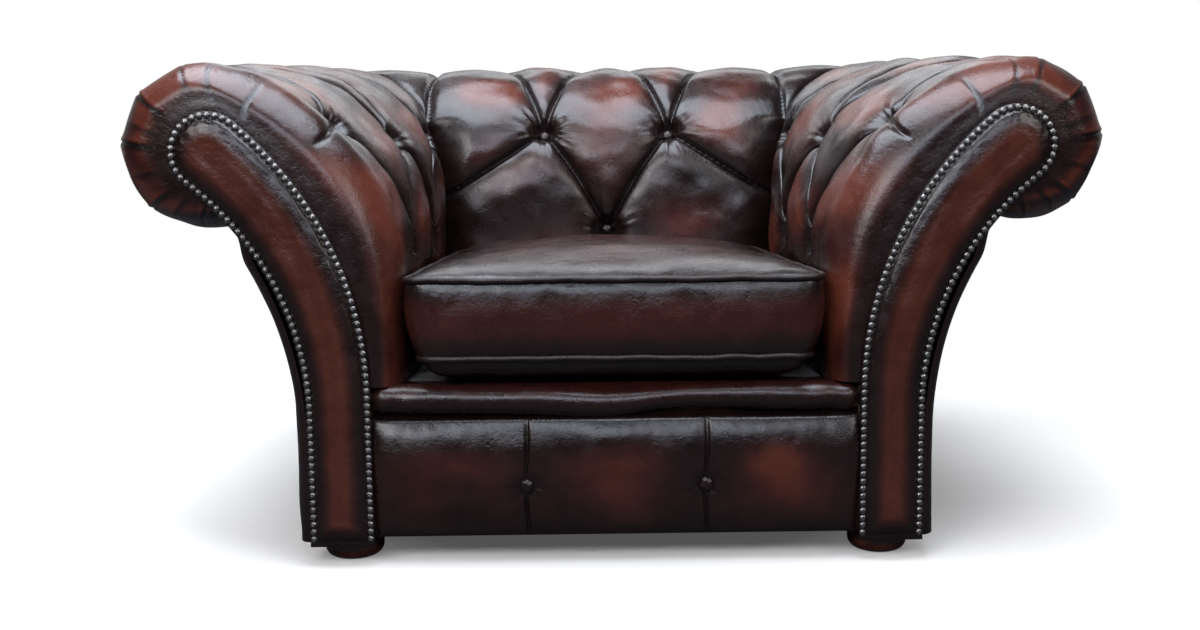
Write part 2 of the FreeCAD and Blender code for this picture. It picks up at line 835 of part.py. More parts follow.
def springs_and_clips():
    """Five sinuous springs across the seat, each held by a clip at both ends."""
    z = rail_top + spring_wire_r + clip_floor
    top = z + spring_wire_r + clip_floor
    half = clip_size / 2
    y0, y1 = spring_ends()
    springs = []
    clips = []
    for n in range(spring_count):
        x = (n - (spring_count - 1) / 2) * spring_pitch
        spring = tube(spring_path(x, y0, y1, z), spring_wire_r)
        springs.append(spring)
        for y in (y0, y1):
            clips.append(box(x - half, x + half, y - half, y + half, rail_top, top).cut(spring))
    return Part.makeCompound(springs), Part.makeCompound(clips), top


def platform(hessian_bottom):
    """Hessian over the springs, the deck's padding and the cloth on it."""
    y0, y1 = spring_ends()
    hessian_top = hessian_bottom + hessian_thickness
    half = seat_half_width - deck_gap
    behind_lip = front_plane + lip_front_set_back + lip_depth
    rear = inner_back_y - deck_gap
    cloth_z = deck_top - deck_cloth
    hessian = box(-half, half, y0 - clip_size / 2, y1, hessian_bottom, hessian_top)
    pad = box(-half, half, behind_lip, rear, hessian_top, cloth_z)
    cloth = box(-half, half, behind_lip, rear, cloth_z, deck_top)
    return hessian, pad, cloth, hessian_top


def lip_solid(seat_z):
    """The leather roll along the platform's front edge, with a root that stands on the hessian."""
    y0 = front_plane + lip_front_set_back
    y1 = y0 + lip_depth
    r = lip_height / 2
    top = pad_bottom - soft_gap
    x = facing_inner_x - facing_margin
    k = r * cos(pi / 4)
    middle = V(-x, y0 + r, top - r)
    root_y = y1 - lip_root
    low = middle + V(0, 0, -r)
    nose = middle + V(0, -r, 0)
    high = middle + V(0, 0, r)
    root = V(-x, root_y, top - lip_height)
    edges = [line(V(-x, y1, seat_z), V(-x, root_y, seat_z)), line(V(-x, root_y, seat_z), root),
             line(root, low), arc(low, middle + V(0, -k, -k), nose),
             arc(nose, middle + V(0, -k, k), high), line(high, V(-x, y1, top)),
             line(V(-x, y1, top), V(-x, y1, seat_z))]
    return Part.Face(Part.Wire(edges)).extrude(V(2 * x, 0, 0))


def webbing():
    """Straps behind the padding of one arm and of the back, tacked to the lower rails."""
    low = pad_bottom - tacking_rail_height + web_end_lap
    x = seat_half_width + pad_thickness
    y = inner_back_y + pad_thickness
    arm = []
    for n in range(web_count):
        start = scroll_back_y + web_margin + n * web_pitch
        arm.append(box(x, x + web_thickness, start, start + web_width, low, web_bend_z))
    back = []
    for n in range(web_count):
        middle = (n - (web_count - 1) / 2) * web_pitch
        back.append(box(middle - web_width / 2, middle + web_width / 2, y, y + web_thickness,
                        low, web_bend_z))
    return Part.makeCompound(arm), Part.makeCompound(back)


def dust_cover(feet):
    """The black cloth under the seat, cut out round the feet."""
    front = front_plane + border_set_back
    x = rail_outer_x - dust_cover_margin
    sheet = box(-x, x, front + dust_cover_margin, rail_outer_y - dust_cover_margin,
                frame_bottom - dust_cover_thickness, frame_bottom)
    holes = [Part.makeCylinder(foot_neck_radius + soft_gap, foot_height, centre)
             for _, centre in feet]
    return sheet.cut(holes)


def foot_fixings(centre):
    """A foot's hanger bolt and the tee nut in the corner block above it."""
    z = frame_bottom
    low = z - foot_bolt_length / 2 + foot_bolt_rise
    bolt = Part.makeCylinder(foot_bolt_radius, foot_bolt_length, centre + V(0, 0, low))
    flange = Part.makeCylinder(tee_nut_radius, tee_nut_flange, centre + V(0, 0, z))
    barrel = Part.makeCylinder(tee_nut_barrel_radius, tee_nut_barrel, centre + V(0, 0, z))
    return bolt, flange.fuse(barrel).removeSplitter().cut(bolt)


def frame_screw_list():
    """Screws that pull the rails onto the corner blocks and the scroll boards onto the rails."""
    z = frame_bottom + corner_block_height / 2
    front = front_plane + border_set_back
    side_x = rail_outer_x
    front_y = front + rail_thickness + corner_block_leg / 2
    rear_y = rail_outer_y - rail_thickness - corner_block_leg / 2
    block_x = rail_outer_x - rail_thickness - corner_block_leg / 2
    board_x = rail_outer_x - rail_thickness / 2
    screws = []
    for s in (1, -1):
        screws.append(screw_at(V(s * side_x, front_y, z), V(-s, 0, 0)))
        screws.append(screw_at(V(s * side_x, rear_y, z), V(-s, 0, 0)))
        screws.append(screw_at(V(s * block_x, front, z), V(0, 1, 0)))
        screws.append(screw_at(V(s * block_x, rail_outer_y, z), V(0, -1, 0)))
        for height in scroll_screw_heights:
            screws.append(screw_at(V(s * board_x, scroll_front_y, height), V(0, 1, 0)))
    return screws


def border_panel():
    """The buttoned leather border across the front, three puffs between two pleats."""
    half = facing_inner_x - facing_margin
    back = front_plane + border_set_back
    pleat = border_button_x
    between = (half + pleat) / 2
    half_stops = [0.0, pleat - border_pleat_half, pleat, pleat + border_pleat_half, between,
                  half - border_end, half]
    shoulder = border_puff - border_shoulder
    half_bulges = [border_puff, shoulder, border_edge_bulge, shoulder, border_puff,
                   border_edge_bulge + border_end_rise, border_edge_bulge]
    stops = [-x for x in half_stops[:0:-1]] + half_stops
    bulges = half_bulges[:0:-1] + half_bulges
    wires = []
    middle = (border_bottom + border_top) / 2
    quarter = (border_top - border_bottom) / 4
    for x, bulge in zip(stops, bulges):
        low = V(x, back - border_edge_bulge * border_rim_share, border_bottom)
        high = V(x, back - border_edge_bulge * border_rim_share, border_top)
        mid = V(x, back - bulge, middle)
        lower = V(x, back - bulge * border_shoulder_share, middle - quarter)
        upper = V(x, back - bulge * border_shoulder_share, middle + quarter)
        edges = [line(V(x, back, border_bottom), low), arc(low, lower, mid), arc(mid, upper, high),
                 line(high, V(x, back, border_top)),
                 line(V(x, back, border_top), V(x, back, border_bottom))]
        wires.append(Part.Wire(edges))
    return Part.makeLoft(wires, True, True)


def border_button_places():
    """The two buttons of the border, sunk into its pleats."""
    y = front_plane + border_set_back - border_edge_bulge + button_sink
    return [(V(side * border_button_x, y, border_button_z), V(0, -1, 0)) for side in (1, -1)]


def rounded_outline(corners, radius, bulges):
    """A closed outline through corners, each rounded to a radius.

    The side after each corner bows outwards by its bulge.
    """
    count = len(corners)
    ways = []
    for i in range(count):
        way = corners[(i + 1) % count] - corners[i]
        ways.append(way.normalize())
    entries, middles, exits = [], [], []
    for i in range(count):
        before, after = ways[i - 1], ways[i]
        half_turn = acos(max(-1.0, min(1.0, before.dot(after)))) / 2
        tangent = radius * tan(half_turn)
        inward = (after - before).normalize()
        centre = corners[i] + inward * (radius / cos(half_turn))
        entries.append(corners[i] - before * tangent)
        middles.append(centre - inward * radius)
        exits.append(corners[i] + after * tangent)
    edges = []
    for i in range(count):
        nxt = (i + 1) % count
        edges.append(arc(entries[i], middles[i], exits[i]))
        outward = ways[i].cross(V(0, 0, 1))
        bow = (exits[i] + entries[nxt]) * 0.5 + outward * bulges[i]
        edges.append(arc(exits[i], bow, entries[nxt]))
    return Part.Wire(edges)


def cushion_outline(z, inset, narrow, share, rear_inset):
    """One horizontal outline of the cushion; share is how far its band bows outwards."""
    front_half = cushion_front_half - inset - narrow
    rear_half = cushion_rear_half - inset - narrow
    front = front_plane - cushion_front_overhang + inset
    rear = front_plane - cushion_front_overhang + cushion_length - rear_inset
    corners = [V(-front_half, front, z), V(front_half, front, z), V(rear_half, rear, z),
               V(-rear_half, rear, z)]
    bulges = [cushion_front_bulge * share, cushion_side_bulge * share, 0.0,
              cushion_side_bulge * share]
    return rounded_outline(corners, max(cushion_corner_r - inset * 0.4, 12.0), bulges)


def cushion_solid(skin):
    """The crowned cushion: a drawn-in underside, a bowed band and a domed top.

    skin is how far it lies inside the leather.
    """
    top = cushion_top_seam_z
    seam = cushion_bottom_seam_z
    low = deck_top + soft_gap
    levels = [(low + skin, 44.0), (low + skin + 3.0, 26.0), (low + 10.0, 12.0), (seam, 0.0)]
    wires = [cushion_outline(z, inset + skin, cushion_draw, 0.0, inset * 0.4 + skin)
             for z, inset in levels]
    under = Part.makeLoft(wires, True, True)
    wires = []
    for t, share in ((0.0, 0.0), (0.2, 0.7), (0.5, 1.0), (0.8, 0.7), (1.0, 0.0)):
        narrow = cushion_draw * (1 - t)
        wires.append(cushion_outline(mix(seam, top, t), skin, narrow, share, skin))
    middle = Part.makeLoft(wires, True, True)
    wires = []
    for share, inset in ((0.0, 0.0), (0.3, 7.0), (0.55, 20.0), (0.78, 48.0), (0.93, 88.0), (1.0, 130.0)):
        z = top + (cushion_crown - skin) * share
        wires.append(cushion_outline(z, inset + skin, 0.0, 0.0, inset * 0.7 + skin))
    over = Part.makeLoft(wires, True, True)
    return under.fuse([middle, over])


def piping(z, narrow):
    """A corded seam round the cushion."""
    return tube(cushion_outline(z, piping_set_in, narrow, 0.0, piping_r), piping_r)


def build_cushion():
    """Three leather panels, filling, two corded seams and the zip with its slider."""
    inner = cushion_solid(cushion_skin)
    cover = cushion_solid(0.0).cut(inner)
    top_cord = piping(cushion_top_seam_z, 0.0)
    bottom_cord = piping(cushion_bottom_seam_z, cushion_draw)
    rear = front_plane - cushion_front_overhang + cushion_length
    zip_z = mix(cushion_bottom_seam_z, cushion_top_seam_z, 0.5)
    half = zip_width / 2
    strip = box(-zip_length / 2, zip_length / 2, rear - cushion_skin / 2, rear + zip_thickness,
                zip_z - half, zip_z + half)
    cover = cover.cut(strip).cut(top_cord).cut(bottom_cord)
    panels = sorted(cover.Solids, key=lambda panel: panel.CenterOfMass.z)
    core = inner.cut(top_cord).cut(bottom_cord)
    y0 = rear + zip_thickness + slider_gap
    x0 = zip_length / 2 - slider_length - zip_end_stop
    slider = box(x0, x0 + slider_length, y0, y0 + slider_thickness, zip_z - slider_width / 2,
                 zip_z + slider_width / 2)
    return panels + [core, top_cord, bottom_cord, strip, slider]


def build_arms_and_back(timber, facing_room):
    """Leather, padding, webbing and buttons of the arms and the back, and the outer panels."""
    arm_cover, arm_pad = arm_lofts()
    back_cover, back_pad = back_lofts()
    side_panel = outer_arm_panel().cut([facing_room, timber["scroll"], arm_cover, arm_pad])
    rear_panel = outer_back_panel().cut([back_cover, back_pad])
    save_pair("outer_arm_panel", side_panel)
    save("outer_back_panel", rear_panel)
    timber["rear_board"] = timber["rear_board"].cut([side_panel, arm_cover])
    timber["post"] = timber["post"].cut([rear_panel, back_cover, arm_cover, timber["arm_tacking"]])
    save_pair("rear_arm_board", timber["rear_board"])
    save_pair("back_post", timber["post"])

    arm_places = arm_button_places()
    back_places = back_button_places()
    arm_pockets = [button_pocket(p, n) for p, n in arm_places]
    back_pockets = [button_pocket(p, n) for p, n in back_places]
    arm_boards = [timber[n] for n in ("scroll", "arm_top_rail", "rear_board", "post")]
    back_boards = [timber["back_top_rail"]]
    for name in ("post", "rear_board"):
        back_boards += [timber[name], mirrored(timber[name])]
    save_pair("inner_arm_cover", arm_cover.cut(arm_pockets + [facing_room, timber["scroll"]]))
    save_pair("arm_pad", arm_pad.cut(arm_pockets + arm_boards + [facing_room]))
    save("inner_back_cover", back_cover.cut(back_pockets))
    save("back_pad", back_pad.cut(back_pockets + back_boards))
    save_pair("arm_buttons", Part.makeCompound([button(p, n) for p, n in arm_places]))
    save("back_buttons", Part.makeCompound([button(p, n) for p, n in back_places]))
    arm_web, back_web = webbing()
    save_pair("arm_webbing", arm_web)
    save("back_webbing", back_web)


def build_base(timber):
    """Rails, blocks, feet and their fixings, and the cloth underneath."""
    feet = foot_centres()
    screws = frame_screw_list()
    fixings = [foot_fixings(centre) for _, centre in feet]
    bolts = [bolt for bolt, _ in fixings]
    nuts = [nut for _, nut in fixings]
    save("front_rail", timber["front_rail"].cut(screws))
    save("back_rail", timber["back_rail"].cut(screws))
    save_pair("side_rail", timber["side_rail"].cut(screws))
    save_pair("arm_scroll_board", timber["scroll"].cut(screws))
    blocks = [block.cut(screws + bolts + nuts) for block in corner_blocks()]
    save("corner_blocks", Part.makeCompound(blocks))
    save("frame_screws", Part.makeCompound(screws))
    for (name, centre), bolt in zip(feet, bolts):
        save(name + "_foot", foot(centre).cut(bolt))
    save("foot_bolts", Part.makeCompound(bolts))
    save("foot_tee_nuts", Part.makeCompound(nuts))
    save("dust_cover", dust_cover(feet))


def build_seat():
    """Springs, platform, front lip and buttoned border."""
    springs, clips, clip_top = springs_and_clips()
    save("seat_springs", springs)
    save("spring_clips", clips)
    hessian, pad, cloth, hessian_top = platform(clip_top)
    save("seat_hessian", hessian)
    save("deck_pad", pad)
    save("deck_cover", cloth)
    save("platform_front_roll", lip_solid(hessian_top))
    places = border_button_places()
    pockets = [button_pocket(p, n) for p, n in places]
    save("front_border_panel", border_panel().cut(pockets))
    save("border_buttons", Part.makeCompound([button(p, n) for p, n in places]))
    return pockets


def main():
    os.makedirs("parts", exist_ok=True)
    timber = build_timber()
    pockets = build_seat()
    timber["front_rail"] = timber["front_rail"].cut(pockets)
    build_base(timber)
    save_pair("arm_top_rail", timber["arm_top_rail"])
    save_pair("arm_tacking_rail", timber["arm_tacking"])
    save("back_top_rail", timber["back_top_rail"])
    save("back_tacking_rail", timber["back_tacking"])
    save_pair("arm_facing", arm_facing())
    save_pair("facing_nails", Part.makeCompound([nail(p) for p in nail_places()]))
    cushion = build_cushion()
    names = ("cushion_underside", "cushion_band", "cushion_top_panel", "cushion_core",
             "cushion_piping_top", "cushion_piping_bottom", "cushion_zip", "zip_slider")
    for name, shape in zip(names, cushion):
        save(name, shape)
    build_arms_and_back(timber, facing_envelope())


if __name__ == "__main__":
    main()
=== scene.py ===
"""The look of the chesterfield armchair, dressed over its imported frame.

Sizes below are millimetres in the chair's own frame and become metres when a mesh is made.
"""
from math import atan2, cos, pi, radians, sin, sqrt, tan

import bpy
import numpy as np
from mathutils import Matrix, Vector


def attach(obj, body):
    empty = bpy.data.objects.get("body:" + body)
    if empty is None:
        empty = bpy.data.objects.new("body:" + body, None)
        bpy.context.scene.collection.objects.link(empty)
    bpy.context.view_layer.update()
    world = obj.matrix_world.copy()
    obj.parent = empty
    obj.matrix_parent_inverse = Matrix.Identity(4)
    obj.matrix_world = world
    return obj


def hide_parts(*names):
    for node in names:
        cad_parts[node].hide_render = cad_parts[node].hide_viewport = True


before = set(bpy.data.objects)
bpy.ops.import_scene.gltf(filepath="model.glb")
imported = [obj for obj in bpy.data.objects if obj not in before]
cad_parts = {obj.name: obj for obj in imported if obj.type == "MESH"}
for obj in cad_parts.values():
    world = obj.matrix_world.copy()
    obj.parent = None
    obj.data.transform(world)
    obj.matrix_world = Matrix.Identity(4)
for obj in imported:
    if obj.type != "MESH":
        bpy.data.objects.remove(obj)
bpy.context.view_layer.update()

MM = 0.001

# The chair's layout, as in the part's source
front_plane = -450.0
seat_half = 274.0
seat_depth = 582.0
back_y = front_plane + seat_depth
shell = 136.0
pad_bottom = 232.0
front_round = 70.0
front_square = 2.05
tuck_angle = radians(-115)
facing_inner_x = 316.0
facing_outer_x = 389.0
facing_bends_z = (225.0, 200.0)         # inner edge, outer edge
facing_head = (502.0, 530.0)            # out, up
facing_head_r = 46.0
facing_bottom = 31.0
facing_margin = 5.0
roll_front = (527.0, 539.0, 103.0)      # out, up, radius
roll_rear = (504.0, 582.0, 100.0)
arm_bend_z = (371.0, 490.0)             # front, rear
roll_rear_offset = 230.0
arm_fan_start = 330.0
back_fan_start = 150.0
button_pitch = 214.0
first_button = 103.0
row_a = 168.0
row_b = 333.0
row_c_past_crest = 84.0
corner_meet = 222.0
front_row_rise = 33.0
back_row_rise = 11.0
button_sink = 31.5
button_radius = 9.5

# The skin's grid, and its finest forms
round_columns = 34
arm_columns = 250
back_columns = 213
skin_rows = 370
blend_power = 4.0
crease_depth = 6.5
crease_width = 2.9
wrinkle_reach = 120
front_tuck = 6.0              # how far its front edge turns in behind the nails
corner_groove_top = 350.0     # length up the section
skin_end = 1100.0             # past every section's end

# The seat's front
lip_half = 311.5
lip_r = 18.5
border_low, border_high = 35.0, 191.0
border_button = (115.0, 103.0)
border_button_radius = 10.0
deck_half = 271.0
deck_rim_z = 231.5
deck_top_z = 238.0

rng = np.random.default_rng(11)


def unit(x):
    """The nearest value from 0 to 1."""
    return np.clip(x, 0, 1)


def smooth(t):
    """A smooth step from 0 to 1."""
    t = unit(t)
    return t * t * (3 - 2 * t)


def mix(a, b, t):
    """The value a share t of the way from a to b."""
    return a + (b - a) * t


def stacked(*parts):
    """Points from arrays of their coordinates."""
    return np.stack(parts, axis=-1)


def bell(x, width):
    """1 where x is 0, falling off on both sides over about the width."""
    return np.exp(-(x / width) ** 2)


def waves(points, length, count=9):
    """Soft seeded noise of about unit size: sine waves that cross in all directions."""
    points = np.asarray(points, float)
    total = np.zeros(points.shape[:-1])
    for _ in range(count):
        way = rng.normal(size=points.shape[-1])
        way /= np.linalg.norm(way)
        size = length * rng.uniform(0.7, 1.5)
        total += np.sin(points @ way * (2 * pi / size) + rng.uniform(0, 2 * pi))
    return total / sqrt(count / 2)


def grid_faces(rows, cols, wrap_rows=False, wrap_cols=False):
    """Quads over a grid of points stored row after row."""
    r = np.arange(rows if wrap_rows else rows - 1)
    c = np.arange(cols if wrap_cols else cols - 1)
    r, c = np.meshgrid(r, c, indexing="ij")
    r2 = (r + 1) % rows
    c2 = (c + 1) % cols
    quads = stacked(r * cols + c, r * cols + c2, r2 * cols + c2, r2 * cols + c)
    return quads.reshape(-1, 4).tolist()


def add_mesh(name, verts, faces, material):
    """A mesh object that isn't dressed yet, from points in millimetres."""
    mesh = bpy.data.meshes.new(name)
    mesh.from_pydata((np.asarray(verts, float).reshape(-1, 3) * MM).tolist(), [], faces)
    mesh.materials.append(material)
    piece = bpy.data.objects.new(name, mesh)
    bpy.context.collection.objects.link(piece)
    return piece


def dress(piece, rub_and_shade, body, stands_for):
    """Gives a piece its marks of wear and painted shade, its smooth shading and its body, and hides
    the nodes that it stands for.
    """
    if rub_and_shade is not None:
        # The attribute holds wear together with painted shade and painted highlight in one value.
        tone_marks = piece.data.attributes.new("rub_and_shade", "FLOAT", "POINT").data
        values = np.zeros(len(tone_marks), np.float32)
        values[:] = np.ravel(rub_and_shade)
        tone_marks.foreach_set("value", values)
    piece.data.shade_smooth()
    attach(piece, body)
    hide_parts(*stands_for)


def add_piece(name, verts, finish, stands_for, faces=None, rub_and_shade=None, body="chair"):
    """A smooth mesh piece in one of the finishes, a plain grid unless its faces are given."""
    if faces is None:
        faces = grid_faces(*verts.shape[:2])
    dress(add_mesh(name, verts, faces, looks[finish]), rub_and_shade, body, stands_for)


# Materials
def clear_nodes(owner):
    """The node tree of a material or world, emptied."""
    owner.use_nodes = True
    owner.node_tree.nodes.clear()
    return owner.node_tree


def new_material(name, **settings):
    """A material with one shader, whose named sockets get constants, and its place on a piece."""
    material = bpy.data.materials.new(name)
    tree = clear_nodes(material)
    out = tree.nodes.new("ShaderNodeOutputMaterial")
    shader = tree.nodes.new("ShaderNodeBsdfPrincipled")
    tree.links.new(shader.outputs[0], out.inputs[0])
    for key, value in settings.items():
        shader.inputs[key.replace("_", " ")].default_value = value
    place = make_node(tree, "TexCoord", out="Object")
    return material, tree, shader, place


def make_node(tree, kind, settings=None, out=0, **inputs):
    """One output of a new node, whose inputs are each a value or another node's output."""
    node = tree.nodes.new("ShaderNode" + kind)
    for key, value in (settings or {}).items():
        setattr(node, key, value)
    for key, value in inputs.items():
        at = int(key[1:]) if key[1:].isdigit() else key.replace("_", " ")
        if isinstance(value, bpy.types.NodeSocket):
            tree.links.new(value, node.inputs[at])
        else:
            node.inputs[at].default_value = value
    return node.outputs[out]


def feed(tree, shader, **inputs):
    """Links other nodes' outputs to the shader's sockets."""
    for key, value in inputs.items():
        tree.links.new(value, shader.inputs[key.replace("_", " ")])


def maths(tree, operation, a, b=0.0):
    """One arithmetic step."""
    return make_node(tree, "Math", {"operation": operation}, i0=a, i1=b)


def colour_ramp(tree, factor, stops):
    """Colours along a factor, as (position, (r, g, b))."""
    colours = make_node(tree, "ValToRGB", Fac=factor)
    ramp = colours.node.color_ramp
    while len(ramp.elements) < len(stops):
        ramp.elements.new(0.5)
    for element, (position, colour) in zip(ramp.elements, stops):
        element.position = position
        element.color = (*colour, 1.0)
    return colours


def noise(tree, vector, scale, detail=3.0, roughness=0.55):
    """Cloudy noise."""
    return make_node(tree, "TexNoise", Vector=vector, Scale=scale, Detail=detail,
                     Roughness=roughness)


def bump(tree, height, strength, distance, normal=None):
    """A bump on top of another."""
    under = {} if normal is None else {"Normal": normal}
    return make_node(tree, "Bump", Height=height, Strength=strength, Distance=distance, **under)


def leather(name, stops, roughness=(0.22, 0.36), cloud=0.30, coat=0.25):
    """Hand rubbed glossy leather, dark to red along an attribute that holds its wear together with
    painted shade in folds, seams, corners and undersides and painted highlight on some folds.
    """
    material, tree, shader, place = new_material(name, Coat_Weight=coat,
                                                 Coat_Roughness=0.20, Specular_IOR_Level=0.42)
    rub_and_shade = make_node(tree, "Attribute", {"attribute_name": "rub_and_shade"}, "Fac")
    wide = noise(tree, place, 7.0, 4.0)
    fine = noise(tree, place, 38.0, 4.0, 0.6)
    speck = noise(tree, place, 260.0, 2.0)
    share = make_node(tree, "Math", {"operation": "MULTIPLY_ADD"}, i0=rub_and_shade, i1=0.85, i2=0.06)
    for source, amount in ((wide, cloud), (fine, 0.28), (speck, 0.08)):
        part = maths(tree, "MULTIPLY", maths(tree, "SUBTRACT", source, 0.5), amount)
        share = maths(tree, "ADD", share, part)
    gloss = make_node(tree, "MapRange", Value=fine, From_Min=0.3, From_Max=0.7,
                      To_Min=roughness[0], To_Max=roughness[1])
    cells = make_node(tree, "TexVoronoi", out="Distance", Vector=place, Scale=620.0)
    warp = make_node(tree, "TexNoise", out="Color", Vector=place, Scale=60.0, Detail=2.0)
    bent = make_node(tree, "VectorMath", {"operation": "MULTIPLY_ADD"}, i0=warp,
                     i1=(0.012, 0.012, 0.012), i2=place)
    lines = make_node(tree, "TexVoronoi", {"feature": "DISTANCE_TO_EDGE"}, "Distance",
                      Vector=bent, Scale=120.0)
    lines = maths(tree, "MINIMUM", lines, 0.12)
    normal = bump(tree, fine, 0.35, 0.004)
    normal = bump(tree, lines, 0.25, 0.0025, normal)
    normal = bump(tree, cells, 0.22, 0.0006, normal)
    feed(tree, shader, Base_Color=colour_ramp(tree, share, stops), Roughness=gloss, Normal=normal)
    return material


def metal(name, dark, light, roughness):
    """Aged metal, darker in its small hollows."""
    material, tree, shader, place = new_material(name, Metallic=1.0)
    spots = noise(tree, place, 420.0, 3.0)
    gloss = make_node(tree, "MapRange", Value=spots, To_Min=roughness + 0.12, To_Max=roughness)
    feed(tree, shader, Base_Color=colour_ramp(tree, spots, [(0.35, dark), (0.65, light)]),
         Roughness=gloss, Normal=bump(tree, spots, 0.3, 0.0005))
    return material


def wood(name, stops, scale, roughness, coat):
    """Wood with growth rings drawn out along X."""
    material, tree, shader, place = new_material(name, Coat_Weight=coat, Coat_Roughness=0.12)
    stretched = make_node(tree, "Mapping", Vector=place, Scale=(0.15, 1.0, 1.0))
    rings = noise(tree, stretched, scale, 5.0, 0.6)
    shader.inputs["Roughness"].default_value = roughness
    feed(tree, shader, Base_Color=colour_ramp(tree, rings, stops),
         Normal=bump(tree, rings, 0.15, 0.001))
    return material


def cloth(name, colour, thread):
    """Plain woven cloth, its threads crossing at a pitch in metres."""
    material, tree, shader, place = new_material(name, Roughness=0.9, Sheen_Weight=0.2)
    across = [make_node(tree, "TexWave", {"bands_direction": way}, "Fac", Vector=place,
                        Scale=1 / thread / 3.0, Distortion=0.6) for way in "XY"]
    weave = maths(tree, "MAXIMUM", *across)
    dark = tuple(c * 0.45 for c in colour)
    feed(tree, shader, Base_Color=colour_ramp(tree, weave, [(0.1, dark), (0.9, colour)]),
         Normal=bump(tree, weave, 0.5, 0.001))
    return material


black_red = [(0.0, (0.0060, 0.0028, 0.0024)), (0.30, (0.0150, 0.0052, 0.0042)),
             (0.60, (0.042, 0.0105, 0.0075)), (0.92, (0.115, 0.027, 0.015))]
looks = {
    "oxblood_leather": leather("oxblood_leather", black_red),
    "cushion_leather": leather("cushion_leather", black_red),
    "piping_leather": leather("piping_leather", black_red, (0.34, 0.48), cloud=0.4, coat=0.0),
    "button_leather": leather("button_leather", black_red, cloud=0.4),
    "nails": metal("antique_nails", (0.10, 0.095, 0.09), (0.36, 0.35, 0.34), 0.3),
    "steel": metal("steel", (0.30, 0.30, 0.31), (0.55, 0.55, 0.56), 0.3),
    "feet": wood("polished_mahogany", [(0.3, (0.040, 0.009, 0.004)), (0.7, (0.120, 0.028, 0.012))],
                 90.0, 0.22, 0.8),
    "beech": wood("beech", [(0.3, (0.42, 0.25, 0.13)), (0.7, (0.60, 0.40, 0.23))], 60.0, 0.6, 0.0),
    "hessian": cloth("hessian", (0.36, 0.25, 0.13), 0.0022),
    "black_cloth": cloth("black_cloth", (0.020, 0.018, 0.018), 0.0012),
    "zip_tape": cloth("zip_tape", (0.030, 0.016, 0.014), 0.0010),
}


# The buttoned leather of the arms and the back
def bend_radius(reach, rise, radius):
    """Radius of the bend from an upright face to a circle so far out and up, tangent to both."""
    return (reach ** 2 - radius ** 2 + rise ** 2) / (2 * (reach - radius))


class Contours:
    """Inner face, bend and roll of many cross sections at once, in (outward, up)."""

    def __init__(self, face, bend_z, roll_v, roll_z, radius):
        self.face, self.bend_z = face, bend_z
        self.roll_v, self.roll_z, self.radius = roll_v, roll_z, radius
        reach = roll_v - face
        rise = roll_z - bend_z
        self.bend_r = bend_radius(reach, rise, radius)
        self.touch = np.arctan2(rise, reach - self.bend_r)
        self.flat = bend_z - pad_bottom
        self.bent = self.flat + self.bend_r * (pi - self.touch)
        self.crest = self.bent + radius * (self.touch - pi / 2)
        self.end = self.bent + radius * (self.touch - tuck_angle)

    def roll_angle(self, s):
        """Angle round the roll's centre: 90 degrees on top, 0 outside."""
        return self.touch - (s - self.bent) / self.radius

    def place(self, s, raised):
        """Points at lengths s from the bottom, raised outwards from the pad."""
        bend = pi - (s - self.flat) / self.bend_r
        bend_r = self.bend_r + raised
        roll = self.roll_angle(s)
        roll_r = self.radius + raised
        v = np.where(s <= self.flat, self.face - raised,
                     np.where(s <= self.bent, self.face + self.bend_r + bend_r * np.cos(bend),
                              self.roll_v + roll_r * np.cos(roll)))
        z = np.where(s <= self.flat, pad_bottom + s,
                     np.where(s <= self.bent, self.bend_z + bend_r * np.sin(bend),
                              self.roll_z + roll_r * np.sin(roll)))
        return v, z


def section_contours(place):
    """Cross sections at places along the U: 0 is mid back, 274 the corner, 856 an arm's front."""
    far = np.abs(place)
    depth = np.clip(seat_half + seat_depth - far, 0.0, seat_depth)
    full = (1 - (1 - np.minimum(depth / front_round, 1.0)) ** front_square) ** (1 / front_square)
    along = np.maximum(depth - front_round, 0.0) / (seat_depth - front_round)
    face = mix(facing_inner_x - facing_margin, seat_half, full)
    bend_z = mix(facing_bends_z[0], mix(arm_bend_z[0], arm_bend_z[1], along), full)
    rolls = [mix(a, mix(f, r, along), full) for a, f, r in
             zip((*facing_head, facing_head_r + facing_margin), roll_front, roll_rear)]
    back = far <= seat_half
    face = np.where(back, 0.0, face)
    rolls[0] = np.where(back, roll_rear_offset, rolls[0])
    return Contours(face, bend_z, *rolls)


def to_chair(place, v, z):
    """From a section's own (outward, up) to the chair's x, y and z."""
    far = np.abs(place)
    side = np.where(place < 0, -1.0, 1.0)
    depth = seat_half + seat_depth - far
    fan_arm = np.maximum(0.0, (depth - arm_fan_start) / (seat_depth - arm_fan_start)) ** 2
    fan_back = np.maximum(0.0, (far - back_fan_start) / (seat_half - back_fan_start)) ** 2
    back = far <= seat_half
    x = np.where(back, place + side * fan_back * v, side * v)
    y = np.where(back, back_y + v, front_plane + depth + fan_arm * (v - seat_half))
    return stacked(x, y, z)


def crest_at(place):
    """Length along the section to its crest."""
    return float(section_contours(np.array([place])).crest[0])


def tuft_rows():
    """Places of all deep buttons, as (place along the U, length up the section)."""
    buttons = []
    for side in (-1, 1):
        for n in range(5):
            place = side * (seat_half + seat_depth - first_button - n * button_pitch / 2)
            rows = [row_a, crest_at(place) + row_c_past_crest]
            if n % 2 == 0:
                rows = [row_b + (front_row_rise if n == 0 else 0)]
            buttons += [(place, s) for s in rows]
        buttons.append((side * button_pitch / 2, row_b + back_row_rise))
        buttons.append((side * button_pitch, crest_at(button_pitch) + row_c_past_crest))
    buttons += [(0.0, row_a), (0.0, crest_at(0.0) + row_c_past_crest)]
    return buttons


